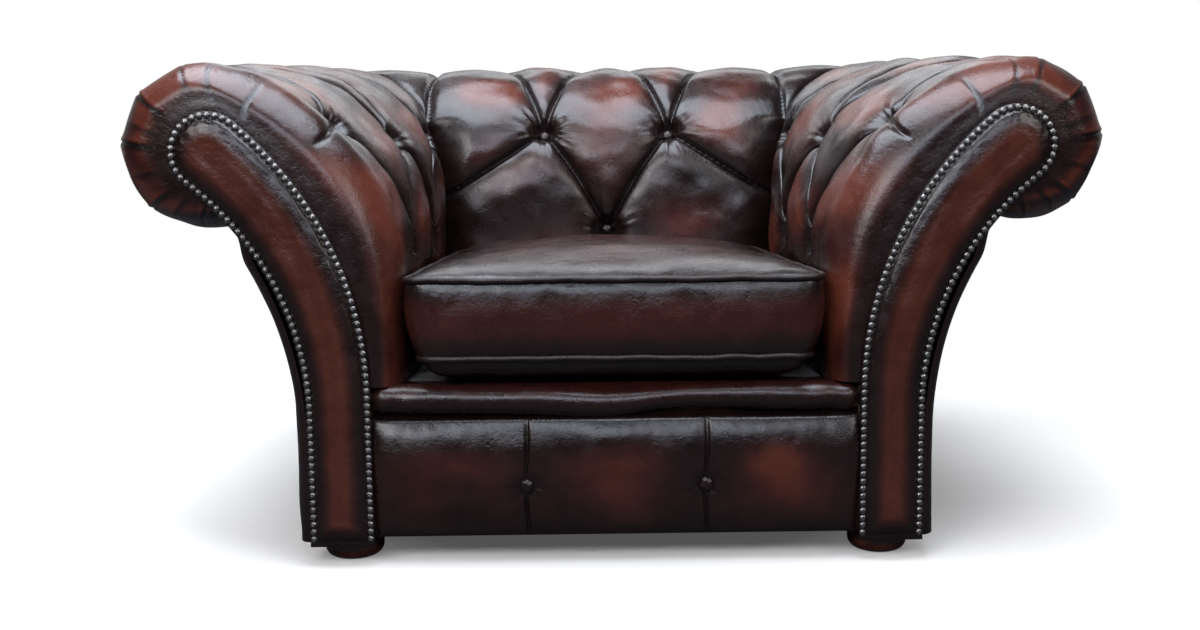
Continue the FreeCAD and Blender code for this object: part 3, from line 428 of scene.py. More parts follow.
def pleat_lines():
    """All pleats, as (points, depth, width)."""
    lines = []

    def c_row(place):
        return (place, crest_at(place) + row_c_past_crest)

    def pleat(points, depth=17.0, width=58.0):
        lines.append((points, depth, width))

    for side in (-1, 1):
        front = seat_half + seat_depth - first_button
        b1, a1, b2, a2, b3 = [side * (front - n * button_pitch / 2) for n in range(5)]
        corner = side * seat_half
        ba, aa = side * button_pitch / 2, side * button_pitch
        for b, a in ((b1, a1), (b2, a1), (b2, a2), (b3, a2), (ba, 0.0), (ba, aa)):
            bend = (mix(b, a, 0.54), mix(row_b, row_a, 0.42))
            if a == aa:
                bend, foot_place = (mix(b, corner, 0.5), 282.0), (corner, corner_meet)
            else:
                foot_place = (a, row_a)
            soft = b == b1
            rise = row_b + (front_row_rise if soft else back_row_rise if b == ba else 0.0)
            pleat([(b, rise), bend, foot_place], 19.0, 60.0)
            top = c_row(a)
            pleat([(b, rise), (mix(b, a, 0.45), mix(rise, top[1], 0.5)), top],
                  7.0 if soft else 15.0, 66.0 if soft else 60.0)
        for a in (a1, a2, aa) + ((0.0,) if side > 0 else ()):
            if a != aa:
                pleat([(a, row_a), (a, 0.0)], 15.0, 50.0)
            pleat([c_row(a), (a, skin_end)], 9.0, 50.0)
        pleat([(b3, row_b), (mix(b3, corner, 0.55), row_b - 38), (corner, row_b - 110)], 17.0, 45.0)
        pleat([(corner, 0.0), (corner, corner_groove_top - 5)], 40.0, 56.0)
        pleat([(corner, corner_groove_top), (corner, skin_end)], 10.0, 40.0)
        start = corner_groove_top + 5
        pleat([(corner, start), (mix(corner, aa, 0.75), mix(start, c_row(aa)[1], 0.45)), c_row(aa)],
              15.0, 50.0)
        rise = row_b + front_row_rise
        pleat([(b1, rise), (b1 + side * 40, rise - 6), (b1 + side * 84, rise - 34)], 13.0, 40.0)
    return lines


def line_distance(points, u, s):
    """Distance from every place of the sheet to a line through points."""
    best = np.full(u.shape, 1e9)
    for (u0, s0), (u1, s1) in zip(points, points[1:]):
        du, ds = u1 - u0, s1 - s0
        t = unit(((u - u0) * du + (s - s0) * ds) / (du * du + ds * ds))
        best = np.minimum(best, np.hypot(u - u0 - t * du, s - s0 - t * ds))
    return best


def bezier(points, count=9):
    """A smooth line through a start, towards a middle, to an end."""
    if len(points) == 2:
        return points
    p = np.array(points, float)
    t = np.linspace(0, 1, count)[:, None]
    return ((1 - t) ** 2 * p[0] + 2 * t * (1 - t) * p[1] + t ** 2 * p[2]).tolist()


def pleat_depths(u, s):
    """How far the pleats draw the leather in, summed as powers, and the way to the nearest one."""
    total = np.zeros(u.shape)
    nearest = np.full(u.shape, 1e9)
    for points, deep, wide in pleat_lines():
        d = line_distance(bezier(points), u, s)
        nearest = np.minimum(nearest, d)
        share = unit(1 - d / wide)
        total += (deep * (1 - np.sqrt(1 - share ** 2))) ** blend_power
    return total, nearest


def hollow_depths(u, s):
    """How far the buttons draw the leather in, as powers, and the wrinkles that radiate from them."""
    total = np.zeros(u.shape)
    wrinkle = np.zeros(u.shape)
    for ub, sb in tuft_rows():
        r = np.hypot(u - ub, s - sb)
        deep = button_sink * (0.5 * np.exp(-(np.maximum(r - 9.0, 0) / 10.0) ** 1.5)
                              + 0.5 * np.exp(-(np.maximum(r - 6.0, 0) / 30.0) ** 1.3))
        total += deep ** blend_power
        turn = np.arctan2(s - sb, u - ub)
        rays = np.zeros(u.shape)
        for k in (7, 10, 13, 17, 22):
            rays += rng.uniform(0.5, 1.0) * np.cos(k * turn + rng.uniform(0, 2 * pi)
                                                   + r * rng.uniform(-0.02, 0.02))
        patch = 0.5 + 0.5 * np.cos(turn * rng.integers(1, 4) + rng.uniform(0, 2 * pi))
        near = rays * (0.35 + 0.65 * patch) * bell(r - 26, 24) * 0.75
        wrinkle += np.where(r < wrinkle_reach, near, 0)
    return total, wrinkle


def skin_rub_and_shade(u, s, depth, drawn, nearest, flat):
    """How worn the leather is, with painted shade: dark in pleats and hollows, partly the antique
    finish and partly painted shade, painted shade on the front rounding by the nails and in the
    corners, red on the puffs.
    """
    outward = np.sqrt(1 - (1 - np.minimum(depth / front_round, 1.0)) ** 2)
    # Painted shade in the corners where the back meets the arms.
    corner = bell(np.abs(u) - seat_half, 42.0) * smooth((560 - s) / 160)
    # Darker where pleats and buttons draw the leather in, partly the antique finish and partly
    # painted shade; painted shade on the front rounding by the nails.
    rub_and_shade = unit(1 - drawn / 15.0) ** 1.3 * (0.12 + 0.88 * smooth((outward - 0.16) / 0.42))
    cloud = 0.66 + 0.30 * waves(stacked(u, s), 130)
    # Random tone, then dark lines along the pleats, partly the finish and partly painted shade, and
    # the painted corner shade.
    rub_and_shade *= cloud * (1 - bell(nearest, 8.0)) * (1 - 0.9 * corner)
    # Darker low on the back and redder higher up.
    on_back = smooth((seat_half - np.abs(u)) / 60)
    rub_and_shade *= mix(1.0, mix(0.50, 1.15, smooth((s - 170) / 250)), on_back)
    rub_and_shade += 0.17 * bell(depth - 42, 34) * smooth((470 - s) / 160)
    return rub_and_shade + 0.14 * smooth((s - flat - 150) / 150) * bell(depth, 90)


def skin():
    """The whole buttoned leather, from the front of one arm round the back to the other."""
    turns = np.linspace(0.0, pi / 2, round_columns)
    depths = np.concatenate([front_round * (1 - np.cos(turns)),
                             np.linspace(front_round, seat_depth, arm_columns)[1:]])
    arm = seat_half + seat_depth - depths
    back = np.linspace(-seat_half, seat_half, back_columns)[1:-1]
    place = np.concatenate([-arm, back, arm[::-1]])
    u, q = np.meshgrid(place, np.linspace(0, 1, skin_rows), indexing="ij")
    contours = section_contours(u)
    s = q * contours.end
    depth = seat_half + seat_depth - np.abs(u)
    at_front = smooth(depth / front_round - 0.15)
    cloud = stacked(u, s)
    pleats, nearest = pleat_depths(u, s)
    hollows, wrinkle = hollow_depths(u, s)
    crease = smooth(depth / 26 - 0.3) * crease_depth * bell(nearest, crease_width)
    drawn = at_front * (pleats + hollows) ** (1 / blend_power) + crease
    raised = 2.5 * at_front - drawn
    raised += at_front * (wrinkle + 1.3 * waves(cloud, 150) + 0.5 * waves(cloud, 55))
    # The roll ends' pleats add painted shade in their grooves and painted highlight on the folds
    # beside them.
    pleated, tone_marks = roll_end_pleats(contours, s, depth)
    v, z = contours.place(s, raised + pleated)
    verts = to_chair(u, v, z)
    verts[..., 1] += front_tuck * bell(depth, front_tuck)
    rub_and_shade = skin_rub_and_shade(u, s, depth, drawn, nearest, contours.flat)
    nodes = [side + name for side in ("left_", "right_") for name in ("inner_arm_cover", "arm_pad")]
    add_piece("buttoned_leather", verts, "oxblood_leather",
              nodes + ["inner_back_cover", "back_pad"], rub_and_shade=unit(rub_and_shade + tone_marks))


# Flats round a roll's front end: (angle where one starts, how flat the one before it is)
roll_flats = ((78.0, 0.0), (41.0, 0.8), (3.0, 0.85), (-50.0, 0.5), (-112.0, 0.2))
# Gathered pleats there: (angle, how far back it runs, depth)
roll_pleats = ((101.0, 62, 1.5), (79.0, 80, 1.5), (41.0, 170, 2.8), (3.0, 170, 2.8),
               (-50.0, 110, 2.4), (-24.0, 45, 1.2), (-70.0, 55, 1.4), (20.0, 40, 1.0),
               (-92.0, 60, 1.4), (140.0, 46, 3.6))


def roll_end_pleats(contours, s, depth):
    """Flats and gathered pleats round the front end of each roll, with painted shade in their grooves
    and painted highlight on their folds.
    """
    angle = np.degrees(contours.roll_angle(s))
    on_roll = smooth((s - contours.flat) / 60.0)
    fade = smooth(1 - (depth - 40) / 230.0)
    raised = np.zeros(s.shape)
    for (a, _), (b, flatness) in zip(roll_flats, roll_flats[1:]):
        inside = unit((angle - b) / (a - b))
        half = radians((a - b) / 2)
        sag = contours.radius * (1 - cos(half))
        bow = 1 - (2 * inside - 1) ** 2
        raised -= np.where((angle < a) & (angle > b), bow * sag, 0) * fade * flatness
    crease = np.zeros(s.shape)
    ridge_highlight = np.zeros(s.shape)
    for a, long, deep in roll_pleats:
        off = (angle - a) * pi / 180 * contours.radius
        off = off + 1.5 * np.sin(depth / 23.0 + a)
        here = smooth((long - depth) / 30.0) * smooth(depth / 4)
        groove = bell(off, 2.0) - 0.30 * bell(off - 5.0, 2.8)
        raised -= deep * groove * here
        # Painted shade along each groove, and a painted highlight along the fold beside it.
        crease = np.maximum(crease, min(deep / 2.4, 1) * bell(off, 4.0) * here)
        ridge_highlight = np.maximum(ridge_highlight, min(deep / 3.0, 1) * bell(off - 6.0, 2.5) * here)
    fine = np.sin(angle * 0.62 + 2.0 * np.sin(angle * 0.13)) * bell(depth, 22.0)
    raised += 0.8 * fine * smooth((30 - angle) / 30) * smooth(depth / 3)
    return raised * on_roll, (0.35 * ridge_highlight - crease) * on_roll


# Buttons
def button_mesh(centre, axis, radius, height, turn):
    """A covered button: a dome with a rolled edge and the small folds of its cover."""
    axis = Vector(axis).normalized()
    side = axis.orthogonal().normalized()
    other = axis.cross(side)
    profile = [(0.0, 1.0), (0.35, 0.97), (0.62, 0.86), (0.82, 0.66), (0.94, 0.42), (1.0, 0.2),
               (0.99, 0.02), (0.93, -0.15), (0.85, -0.3)]
    count = 28
    verts = []
    for r, h in profile:
        for n in range(count):
            a = 2 * pi * n / count
            fold = 1 + 0.035 * r * sin(3 * a + turn) + 0.03 * r * sin(5 * a - 2 * turn)
            lift = height * h * (1 + 0.10 * r * sin(4 * a + 3 * turn))
            across = (side * cos(a) + other * sin(a)) * radius * r * fold
            point = Vector(centre) + across + axis * lift
            verts.append(tuple(point))
    return np.array(verts), grid_faces(len(profile), count, wrap_cols=True)


def joined(parts):
    """Several meshes as one."""
    verts, faces, start = [], [], 0
    for part_verts, part_faces in parts:
        verts.append(np.asarray(part_verts, float).reshape(-1, 3))
        faces += [[i + start for i in face] for face in part_faces]
        start += len(verts[-1])
    return np.concatenate(verts), faces


def add_buttons(name, parts, rub_and_shade):
    """Covered buttons in place of a node's plain ones, as one piece."""
    verts, faces = joined(parts)
    add_piece(name + "_covered", verts, "button_leather", [name], faces, rub_and_shade)


def deep_buttons():
    """All buttons of the arms and the back, each at the bottom of its hollow."""
    sets = {"left_arm_buttons": [], "right_arm_buttons": [], "back_buttons": []}
    for n, (place, s) in enumerate(tuft_rows()):
        u = np.array([place])
        contours = section_contours(u)
        low = to_chair(u, *contours.place(np.array([s]), np.array([-button_sink])))[0]
        high = to_chair(u, *contours.place(np.array([s]), np.array([0.0])))[0]
        name = "back_buttons" if abs(place) <= seat_half else \
            ("right_arm_buttons" if place > 0 else "left_arm_buttons")
        sets[name].append(button_mesh(low, high - low, button_radius, 6.5, n * 1.7))
    for name, parts in sets.items():
        add_buttons(name, parts, 0.18)


# Facings
def facing_outline(grow):
    """Points round the facing, grown outside its nail line."""
    ix, ox = facing_inner_x, facing_outer_x
    hx, hz = facing_head
    bend_in, bend_out = facing_bends_z
    in_r = bend_radius(hx - ix, hz - bend_in, facing_head_r)
    out_r = bend_radius(hx - ox, hz - bend_out, -facing_head_r)
    to_in = atan2(hz - bend_in, hx - ix - in_r)
    to_out = atan2(hz - bend_out, hx - ox - out_r)
    bottom = facing_bottom - grow

    def run(cx, cz, r, a, b, count):
        return [(cx + r * cos(t), cz + r * sin(t)) for t in np.linspace(a, b, count, endpoint=False)]

    points = [(ix - grow, z) for z in np.linspace(bottom, bend_in, 36, endpoint=False)]
    points += run(ix + in_r, bend_in, in_r + grow, pi, to_in, 64)
    head_end = to_out + pi
    if head_end > to_in:
        head_end -= 2 * pi
    points += run(hx, hz, facing_head_r + grow, to_in, head_end, 64)
    points += run(ox + out_r, bend_out, out_r - grow, to_out, pi, 64)
    points += [(ox + grow, z) for z in np.linspace(bend_out, bottom, 30, endpoint=False)]
    points += [(x, bottom) for x in np.linspace(ox + grow, ix - grow, 12, endpoint=False)]
    return np.array(points)


# Rings of a facing, inwards from its edge: its rim's rises, then the padded crown
facing_insets = [-5.0, -5.0, -4.2, -2.5, 0.0, 2.5, 4.5, 6.0, 7.5, 9.5, 12.0, 15.0, 18.5, 22.5, 27.0,
                 31.0, 34.5]
facing_rim_rises = [-6.0, -1.8, -0.4, 0.4, 0.5, 0.3, 0.7]
facing_crown = 8.3


def facings():
    """The two padded facings inside their nail lines."""
    for side, name in ((1, "right_"), (-1, "left_")):
        rings = []
        for n, inset in enumerate(facing_insets):
            outline = facing_outline(-inset)
            share = unit((inset - 4.5) / 27.0)
            if n < len(facing_rim_rises):
                rise = facing_rim_rises[n]
            else:
                rise = facing_rim_rises[-1] + facing_crown * sqrt(1 - (1 - share) ** 2)
            y = np.full(len(outline), front_plane - rise)
            cloud = np.column_stack([outline, np.full(len(outline), side * 400.0)])
            if inset > 4.5:
                pucker = bell(inset - 9.0, 8.0)
                y -= 0.45 * pucker * waves(cloud, 13, 12)
            y -= 0.5 * share * waves(cloud, 120)
            rings.append(np.column_stack([side * outline[:, 0], y, outline[:, 1]]))
        verts = np.array(rings)
        count = verts.shape[1]
        faces = grid_faces(len(facing_insets), count, wrap_cols=True)
        rub_and_shade = 0.05 + 0.75 * smooth((np.array(facing_insets) - 7) / 22)
        last = (len(facing_insets) - 1) * count
        faces.append([last + n for n in range(count)])
        add_piece(name + "facing_leather", verts, "oxblood_leather", [name + "arm_facing"], faces,
                  np.repeat(rub_and_shade, count))


# Outer panels
panel_bottom = 33.0
panel_round = 24.0
panel_gap = 21.0              # from the facing's outer edge to the panel's plane
panel_tuck = 14.0             # how far its bottom edge turns in


def panel_points(base, bend_z, top, shares):
    """Points up a panel that runs straight, then bends out to its top; below 0 it turns in."""
    reach = top[0] - base
    rise = top[1] - bend_z
    r = bend_radius(reach, rise, 0.0)
    turn = np.arcsin(np.clip(rise / r, -1, 1))
    straight = bend_z - panel_bottom
    s = np.maximum(shares, 0) * (straight + r * turn)
    angle = np.clip((s - straight) / r, 0, None)
    out = np.where(s < straight, base, base + r - r * np.cos(angle))
    up = np.where(s < straight, panel_bottom + s, bend_z + r * np.sin(angle))
    return np.where(shares < 0, out - panel_tuck, out), up


def outer_panels():
    """The leather of the outer arms and the outer back."""
    side_x = seat_half + shell
    run = seat_depth + shell - panel_gap
    rear_top = (shell + 62.0, 485.0)
    shares = np.concatenate([[-0.02], np.linspace(0, 1, 90)])
    for side, name in ((1, "right_"), (-1, "left_")):
        turns = np.linspace(0, pi / 2, 14)
        depths = np.concatenate([panel_round * (1 - np.cos(turns)),
                                 np.linspace(panel_round, run, 150)[1:]])
        columns = []
        for depth in depths:
            full = sqrt(max(0.0, 1 - (1 - min(depth / panel_round, 1.0)) ** 2))
            along = max(depth - panel_round, 0.0) / (run - panel_round)
            base = facing_outer_x + mix(facing_margin, panel_gap, full)
            top = (mix(497.0, side_x + 62.0, along) - side_x + base, mix(437.0, 485.0, along))
            x, z = panel_points(base, mix(170.0, 200.0, along), top, shares)
            blend = smooth((depth - 480.0) / (run - 480.0))
            y = front_plane + depth + blend * (back_y + x - seat_half - front_plane - depth)
            columns.append(np.column_stack([x, y, z]))
        verts = np.array(columns)
        edge = smooth((depths[:, None] + 0 * shares) / 26)
        soft = 0.9 * waves(verts, 190) + 0.35 * waves(verts, 60)
        pull = bell(shares[None, :] - 0.03, 0.035) * waves(verts, 26)
        verts[..., 0] += (soft * edge + 0.4 * pull * edge) - 0.8
        tucked = smooth((shares[None, :] - 0.86) / 0.14) * smooth((220 - depths[:, None]) / 200)
        verts[..., 0] -= 15.0 * tucked
        verts[..., 0] *= side
        rub_and_shade = (0.3 + 0.7 * edge) * smooth((shares[None, :] - 0.02) / 0.10) * 0.62
        rub_and_shade = rub_and_shade * (1 + 0.25 * waves(verts, 220))
        add_piece(name + "outer_leather", verts, "oxblood_leather", [name + "outer_arm_panel"],
                  rub_and_shade=rub_and_shade)
    across = np.linspace(-1, 1, 200)
    columns = []
    for share in across:
        v, z = panel_points(shell, 200.0, rear_top, shares)
        columns.append(np.column_stack([share * (seat_half + v), back_y + v, z]))
    verts = np.array(columns)
    soft = 0.9 * waves(verts, 200) + 0.35 * waves(verts, 70)
    verts[..., 1] += soft * smooth((1 - np.abs(across))[:, None] / 0.1) - 0.8
    rub_and_shade = smooth((1 - np.abs(across))[:, None] / 0.12) * smooth((shares[None, :] - 0.02) / 0.1) * 0.62
    add_piece("outer_back_leather", verts, "oxblood_leather", ["outer_back_panel"],
              rub_and_shade=rub_and_shade * (1 + 0.25 * waves(verts, 220)))


# Seat front: the soft lip, and the buttoned border under it
def front_lip():
    """The leather roll along the front of the seat platform, puckered over its length."""
    xs = np.linspace(-lip_half, lip_half, 260)
    r = lip_r
    top = pad_bottom - 0.5
    nose_y = front_plane + 4.0
    rounds = np.linspace(-pi / 2 - 0.35, pi / 2, 26)
    section = [(nose_y + 30, top - 2 * r + 3)]
    section += [(nose_y + r - r * cos(a), top - r + r * sin(a)) for a in rounds]
    section += [(y, top + 0.4) for y in np.linspace(nose_y + r + 6, nose_y + 50, 8)]
    section = np.array(section)
    x, n = np.meshgrid(xs, np.arange(len(section)), indexing="ij")
    y, z = section[n, 0], section[n, 1]
    middle = np.array([nose_y + r, top - r])
    away = stacked(y - middle[0], z - middle[1])
    away /= np.linalg.norm(away, axis=-1, keepdims=True) + 1e-9
    around = stacked(x, 2.0 * y, 2.0 * z)
    puff = 1.2 * waves(stacked(x, x * 0), 220)
    ends_near = 0.25 + 0.75 * smooth((np.abs(x) - 190) / 90)
    crease = 0.45 * waves(around * np.array([1.0, 0.5, 0.5]), 34, 12) * ends_near
    nose = smooth((section[n, 0] < nose_y + r + 1).astype(float))
    raised = (puff + crease) * nose
    ends = smooth((lip_half - np.abs(x)) / 14.0)
    raised -= (1 - ends) * 4.0 * nose
    z = z - nose * (6.5 * bell(x + 8, 62.0) - 2.0 * np.sin(x / 74.0))
    verts = stacked(x, y + away[..., 0] * raised, z + away[..., 1] * raised)
    # Painted light and shade: redder where the roll faces up, darker where it faces forward and down;
    # darker at its very ends too.
    rub_and_shade = (0.10 + 0.55 * unit(away[..., 1] * 0.7 - away[..., 0] * 0.3)) * ends
    add_piece("seat_lip_leather", verts, "oxblood_leather", ["platform_front_roll"], rub_and_shade=rub_and_shade)


def front_border():
    """Three soft puffs between two pleats, with a button in each pleat."""
    back = front_plane + 14.0
    half = facing_inner_x - 1.5
    low, high = border_low, border_high
    xs = np.linspace(-half, half, 330)
    turns = np.linspace(-1, 1, 90)
    x, t = np.meshgrid(xs, turns, indexing="ij")
    z = mix(low, high, (t + 1) / 2)
    lower = np.sqrt(unit(1 - unit(-t) ** 10))
    rising = unit((t - 0.28) / 0.72)
    upper = 1 - 0.72 * rising ** 2.3
    upper *= np.sqrt(unit(1 - unit((t - 0.94) / 0.06) ** 2))
    edge = lower * upper
    end = np.sqrt(unit(1 - (np.abs(x) / half) ** 30))
    full = mix(8.0, 21.0, smooth((t + 1.0) / 1.5))
    drawn = np.zeros(x.shape)
    gathers = waves(stacked(x, 0.12 * z), 21, 12)
    wrinkle = 0.22 * gathers * bell(t - 0.8, 0.24)
    for side in (-1, 1):
        bx, bz = side * border_button[0], border_button[1]
        d = np.abs(x - bx - 1.2 * np.sin(z / 21.0))
        share = unit(1 - d / 20.0)
        line = 3.0 * bell(d, 1.7) - 0.8 * bell(d - 5.0, 2.2)
        drawn = np.maximum(drawn, 4.5 * (1 - np.sqrt(1 - share ** 2)) + line)
        r = np.hypot(x - bx, z - bz)
        drawn = np.maximum(drawn, 5.0 * np.exp(-(np.maximum(r - 8, 0) / 9.0) ** 1.3))
        turn = np.arctan2(z - bz, x - bx)
        for k in (6, 9, 13):
            wrinkle += 0.28 * np.cos(k * turn + rng.uniform(0, 6)) * bell(r - 18, 12)
    cloud = stacked(x, z)
    uneven = wrinkle + 0.8 * waves(cloud, 110) + 0.25 * waves(cloud, 40)
    raised = edge * end * (full - drawn + uneven)
    verts = stacked(x, back - raised, z)
    folds = [stacked(xs, xs * 0 + y, xs * 0 + up)[:, None]
             for y, up in ((back + 3, high + 0.5), (back + 10, high + 7))]
    verts = np.concatenate([verts] + folds, axis=1)
    from_middle = np.minimum(np.abs(x), np.abs(np.abs(x) - 212))
    spots = bell(from_middle, 66)
    # Darker in the pleats and round the buttons, partly the finish and partly painted shade; darker
    # towards the top and bottom edges; redder in the middle of each puff.
    rub_and_shade = unit(1 - drawn / 6) * smooth((1 - np.abs(t + 0.08)) / 0.8) * (0.35 + 0.65 * spots)
    rub_and_shade *= 0.8 + 0.2 * waves(cloud, 150)
    # The two fold strips under the lip get the darkest colour: painted shade in the gap there.
    rub_and_shade = np.concatenate([rub_and_shade, rub_and_shade[:, :2] * 0], axis=1)
    add_piece("front_border_leather", verts, "oxblood_leather", ["front_border_panel"], rub_and_shade=rub_and_shade)
    parts = [button_mesh((side * border_button[0], back - 10.0, border_button[1]), (0, -1, 0),
                         border_button_radius, 7.0, side) for side in (-1, 1)]
    add_buttons("border_buttons", parts, 0.2)


def seat_deck():
    """The cloth covered platform that the cushion rests on."""
    y0, y1 = front_plane + 53.0, back_y - 4.0
    count = 90
    x, y = np.meshgrid(np.linspace(-deck_half, deck_half, count), np.linspace(y0, y1, count),
                       indexing="ij")
    edge = np.minimum(np.minimum(deck_half - np.abs(x), y - y0), y1 - y)
    z = deck_rim_z + 6.0 * smooth(edge / 25.0) + 0.4 * waves(stacked(x, y), 120)
    verts = stacked(x, y, np.minimum(z, deck_top_z))
    add_piece("seat_deck", verts, "black_cloth", ["deck_pad", "deck_cover"])


# The loose seat cushion
cushion_front_half = 268.0
cushion_rear_half = 245.0
cushion_draw = 15.0
cushion_front = front_plane - 5.0
cushion_rear = cushion_front + 577.0
seam_low = 268.0
seam_high = 368.0
cushion_crown = 33.0
cushion_low = 238.3
cushion_corner_r = 25.0
cushion_bows = (8.0, 4.0, 0.0, 4.0)    # front, right, rear and left
voxel = 6.0
fill_limit = 26.0             # the farthest that the filling may push a point
fill_frames = 20
cord_radius = 4.3
cover_settings = {
    "quality": 6, "mass": 0.35, "tension_stiffness": 22, "compression_stiffness": 12,
    "shear_stiffness": 8, "bending_stiffness": 2.5, "use_pressure": True,
    "uniform_pressure_force": 4.0, "shrink_min": -0.006, "vertex_group_mass": "held",
    "pin_stiffness": 1.0}


def rounded(corners, radius, bulges):
    """Points round a closed outline whose corners are rounded and whose sides bow out."""
    corners = np.array(corners) @ (1, 1j)
    ways = np.roll(corners, -1) - corners
    ways /= abs(ways)
    halves = np.angle(ways / np.roll(ways, 1)) / 2
    points = []
    for i, (corner, after, half) in enumerate(zip(corners, ways, halves)):
        centre = corner + radius * (1j * after + after * tan(half))
        points += [centre - 1j * radius * after * np.exp(1j * (t - 2 * half))
                   for t in np.linspace(0, 2 * half, 9)]
        following = (i + 1) % len(corners)
        a = corner + after * radius * tan(half)
        b = corners[following] - after * radius * tan(halves[following])
        points += [mix(a, b, t) - 1j * after * bulges[i] * 4 * t * (1 - t)
                   for t in np.linspace(0, 1, 41)[1:-1]]
    return stacked(np.real(points), np.imag(points))


def cushion_ring(z, inset, narrow, share, rear_inset):
    """One level outline of the cushion."""
    fh = cushion_front_half - inset - narrow
    rh = cushion_rear_half - inset - narrow
    y0, y1 = cushion_front + inset, cushion_rear - rear_inset
    flat = rounded([(-fh, y0), (fh, y0), (rh, y1), (-rh, y1)],
                   max(cushion_corner_r - inset * 0.4, 12.0), [b * share for b in cushion_bows])
    return np.column_stack([flat, np.full(len(flat), z)])


def cushion_start(crown):
    """The cushion before its filling pushes it out."""
    levels = [(cushion_low, 44.0, cushion_draw, 0.0), (cushion_low + 3.0, 26.0, cushion_draw, 0.0),
              (cushion_low + 10.0, 12.0, cushion_draw, 0.0), (seam_low, 0.0, cushion_draw, 0.0)]
    for t, share in ((0.2, 0.35), (0.5, 0.5), (0.8, 0.35), (1.0, 0.0)):
        levels.append((mix(seam_low, seam_high, t), 0.0, cushion_draw * (1 - t), share))
    for share, inset in ((0.3, 7.0), (0.55, 20.0), (0.78, 48.0), (0.93, 88.0), (1.0, 130.0),
                         (1.01, 180.0), (1.015, 222.0)):
        levels.append((seam_high + crown * share, inset, 0.0, 0.0))
    rings = [cushion_ring(z, inset, narrow, share, inset * (0.4 if z < seam_low else 0.7))
             for z, inset, narrow, share in levels]
    verts = np.array(rings)
    count = verts.shape[1]
    faces = grid_faces(len(rings), count, wrap_cols=True)
    faces.append(list(range(count))[::-1])
    faces.append([(len(rings) - 1) * count + n for n in range(count)])
    return verts, faces


def tube_mesh(path, radius, sides=14):
    """A closed round cord along a loop of points, its height a little uneven."""
    ahead = np.roll(path, -1, axis=0) - np.roll(path, 1, axis=0)
    ahead /= np.linalg.norm(ahead, axis=1, keepdims=True)
    out = np.cross(ahead, [0, 0, 1.0])
    out /= np.linalg.norm(out, axis=1, keepdims=True)
    up = np.cross(out, ahead)
    turns = np.linspace(0, 2 * pi, sides, endpoint=False)
    verts = np.stack([path + radius * (out * cos(a) + up * sin(a)) for a in turns], axis=1)
    verts[..., 2] += 0.5 * waves(path, 60)[:, None]
    return verts, grid_faces(len(path), sides, wrap_rows=True, wrap_cols=True)


def densified(loop, step=4.0):
    """The same closed loop with evenly spaced points."""
    loop = np.vstack([loop, loop[:1]])
    lengths = np.r_[0, np.cumsum(np.linalg.norm(np.diff(loop, axis=0), axis=1))]
    count = int(lengths[-1] / step)
    at = np.linspace(0, lengths[-1], count, endpoint=False)
    return np.column_stack([np.interp(at, lengths, loop[:, k]) for k in range(3)])


def held_points(points):
    """How firmly each point is held while the cushion is filled: seams, rear band and underside."""
    y, z = points[:, 1] / MM, points[:, 2] / MM
    seam = np.minimum(np.abs(z - seam_low), np.abs(z - seam_high))
    held = unit(1 - seam / 7.0)
    held = np.where((y > cushion_rear - 6) & (z > seam_low) & (z < seam_high), 1.0, held)
    return np.where(z < cushion_low + 2.0, 1.0, held)


def simulate(piece):
    """Blows the piece up as cloth, and keeps every point near its start."""
    scene = bpy.context.scene
    start = read_points(piece)
    group = piece.vertex_groups.new(name="held")
    for weight in np.linspace(0.1, 1.0, 10):
        chosen = np.nonzero(np.abs(held_points(start) - weight) < 0.05)[0]
        group.add([int(i) for i in chosen], float(weight), "REPLACE")
    fabric = piece.modifiers.new("cloth", "CLOTH")
    for key, value in cover_settings.items():
        setattr(fabric.settings, key, value)
    fabric.settings.effector_weights.gravity = 0.0
    fabric.point_cache.frame_start = 1
    fabric.point_cache.frame_end = fill_frames
    for number in range(1, fill_frames + 1):
        scene.frame_set(number)
    apply_modifiers(piece)
    scene.frame_set(1)
    moved = read_points(piece) - start
    length = np.linalg.norm(moved, axis=1, keepdims=True)
    moved *= np.minimum(1.0, fill_limit * MM / np.maximum(length, 1e-9))
    write_points(piece, start + moved)


def read_points(piece):
    """A piece's points as an array."""
    points = np.empty(len(piece.data.vertices) * 3, np.float32)
    piece.data.vertices.foreach_get("co", points)
    return points.reshape(-1, 3).astype(float)


def write_points(piece, points):
    """Moves a piece's points."""
    piece.data.vertices.foreach_set("co", np.asarray(points, np.float32).ravel())
    piece.data.update()


def apply_modifiers(piece):
    """Makes the modified shape the piece's own mesh."""
    graph = bpy.context.evaluated_depsgraph_get()
    shown = piece.evaluated_get(graph)
    fresh = bpy.data.meshes.new_from_object(shown, depsgraph=graph)
    piece.modifiers.clear()
    piece.data = fresh


def modify(piece, kind, **settings):
    """Changes a piece's mesh by one modifier."""
    modifier = piece.modifiers.new(kind.lower(), kind)
    for key, value in settings.items():
        setattr(modifier, key, value)
    apply_modifiers(piece)


def soften(piece):
    """Evens out small ridges, apart from the points that are held."""
    before = read_points(piece)
    share = held_points(before)[:, None]
    modify(piece, "SMOOTH", factor=0.5, iterations=14)
    write_points(piece, before * share + read_points(piece) * (1 - share))


def settle_crown(piece):
    """Brings the filled top down to the crown that the cushion is made with."""
    points = read_points(piece)
    z = points[:, 2] / MM
    rise = np.maximum(z - seam_high, 0)
    scale = cushion_crown / rise.max()
    points[:, 2] = np.where(rise > 0, seam_high + rise * scale, z) * MM
    write_points(piece, points)


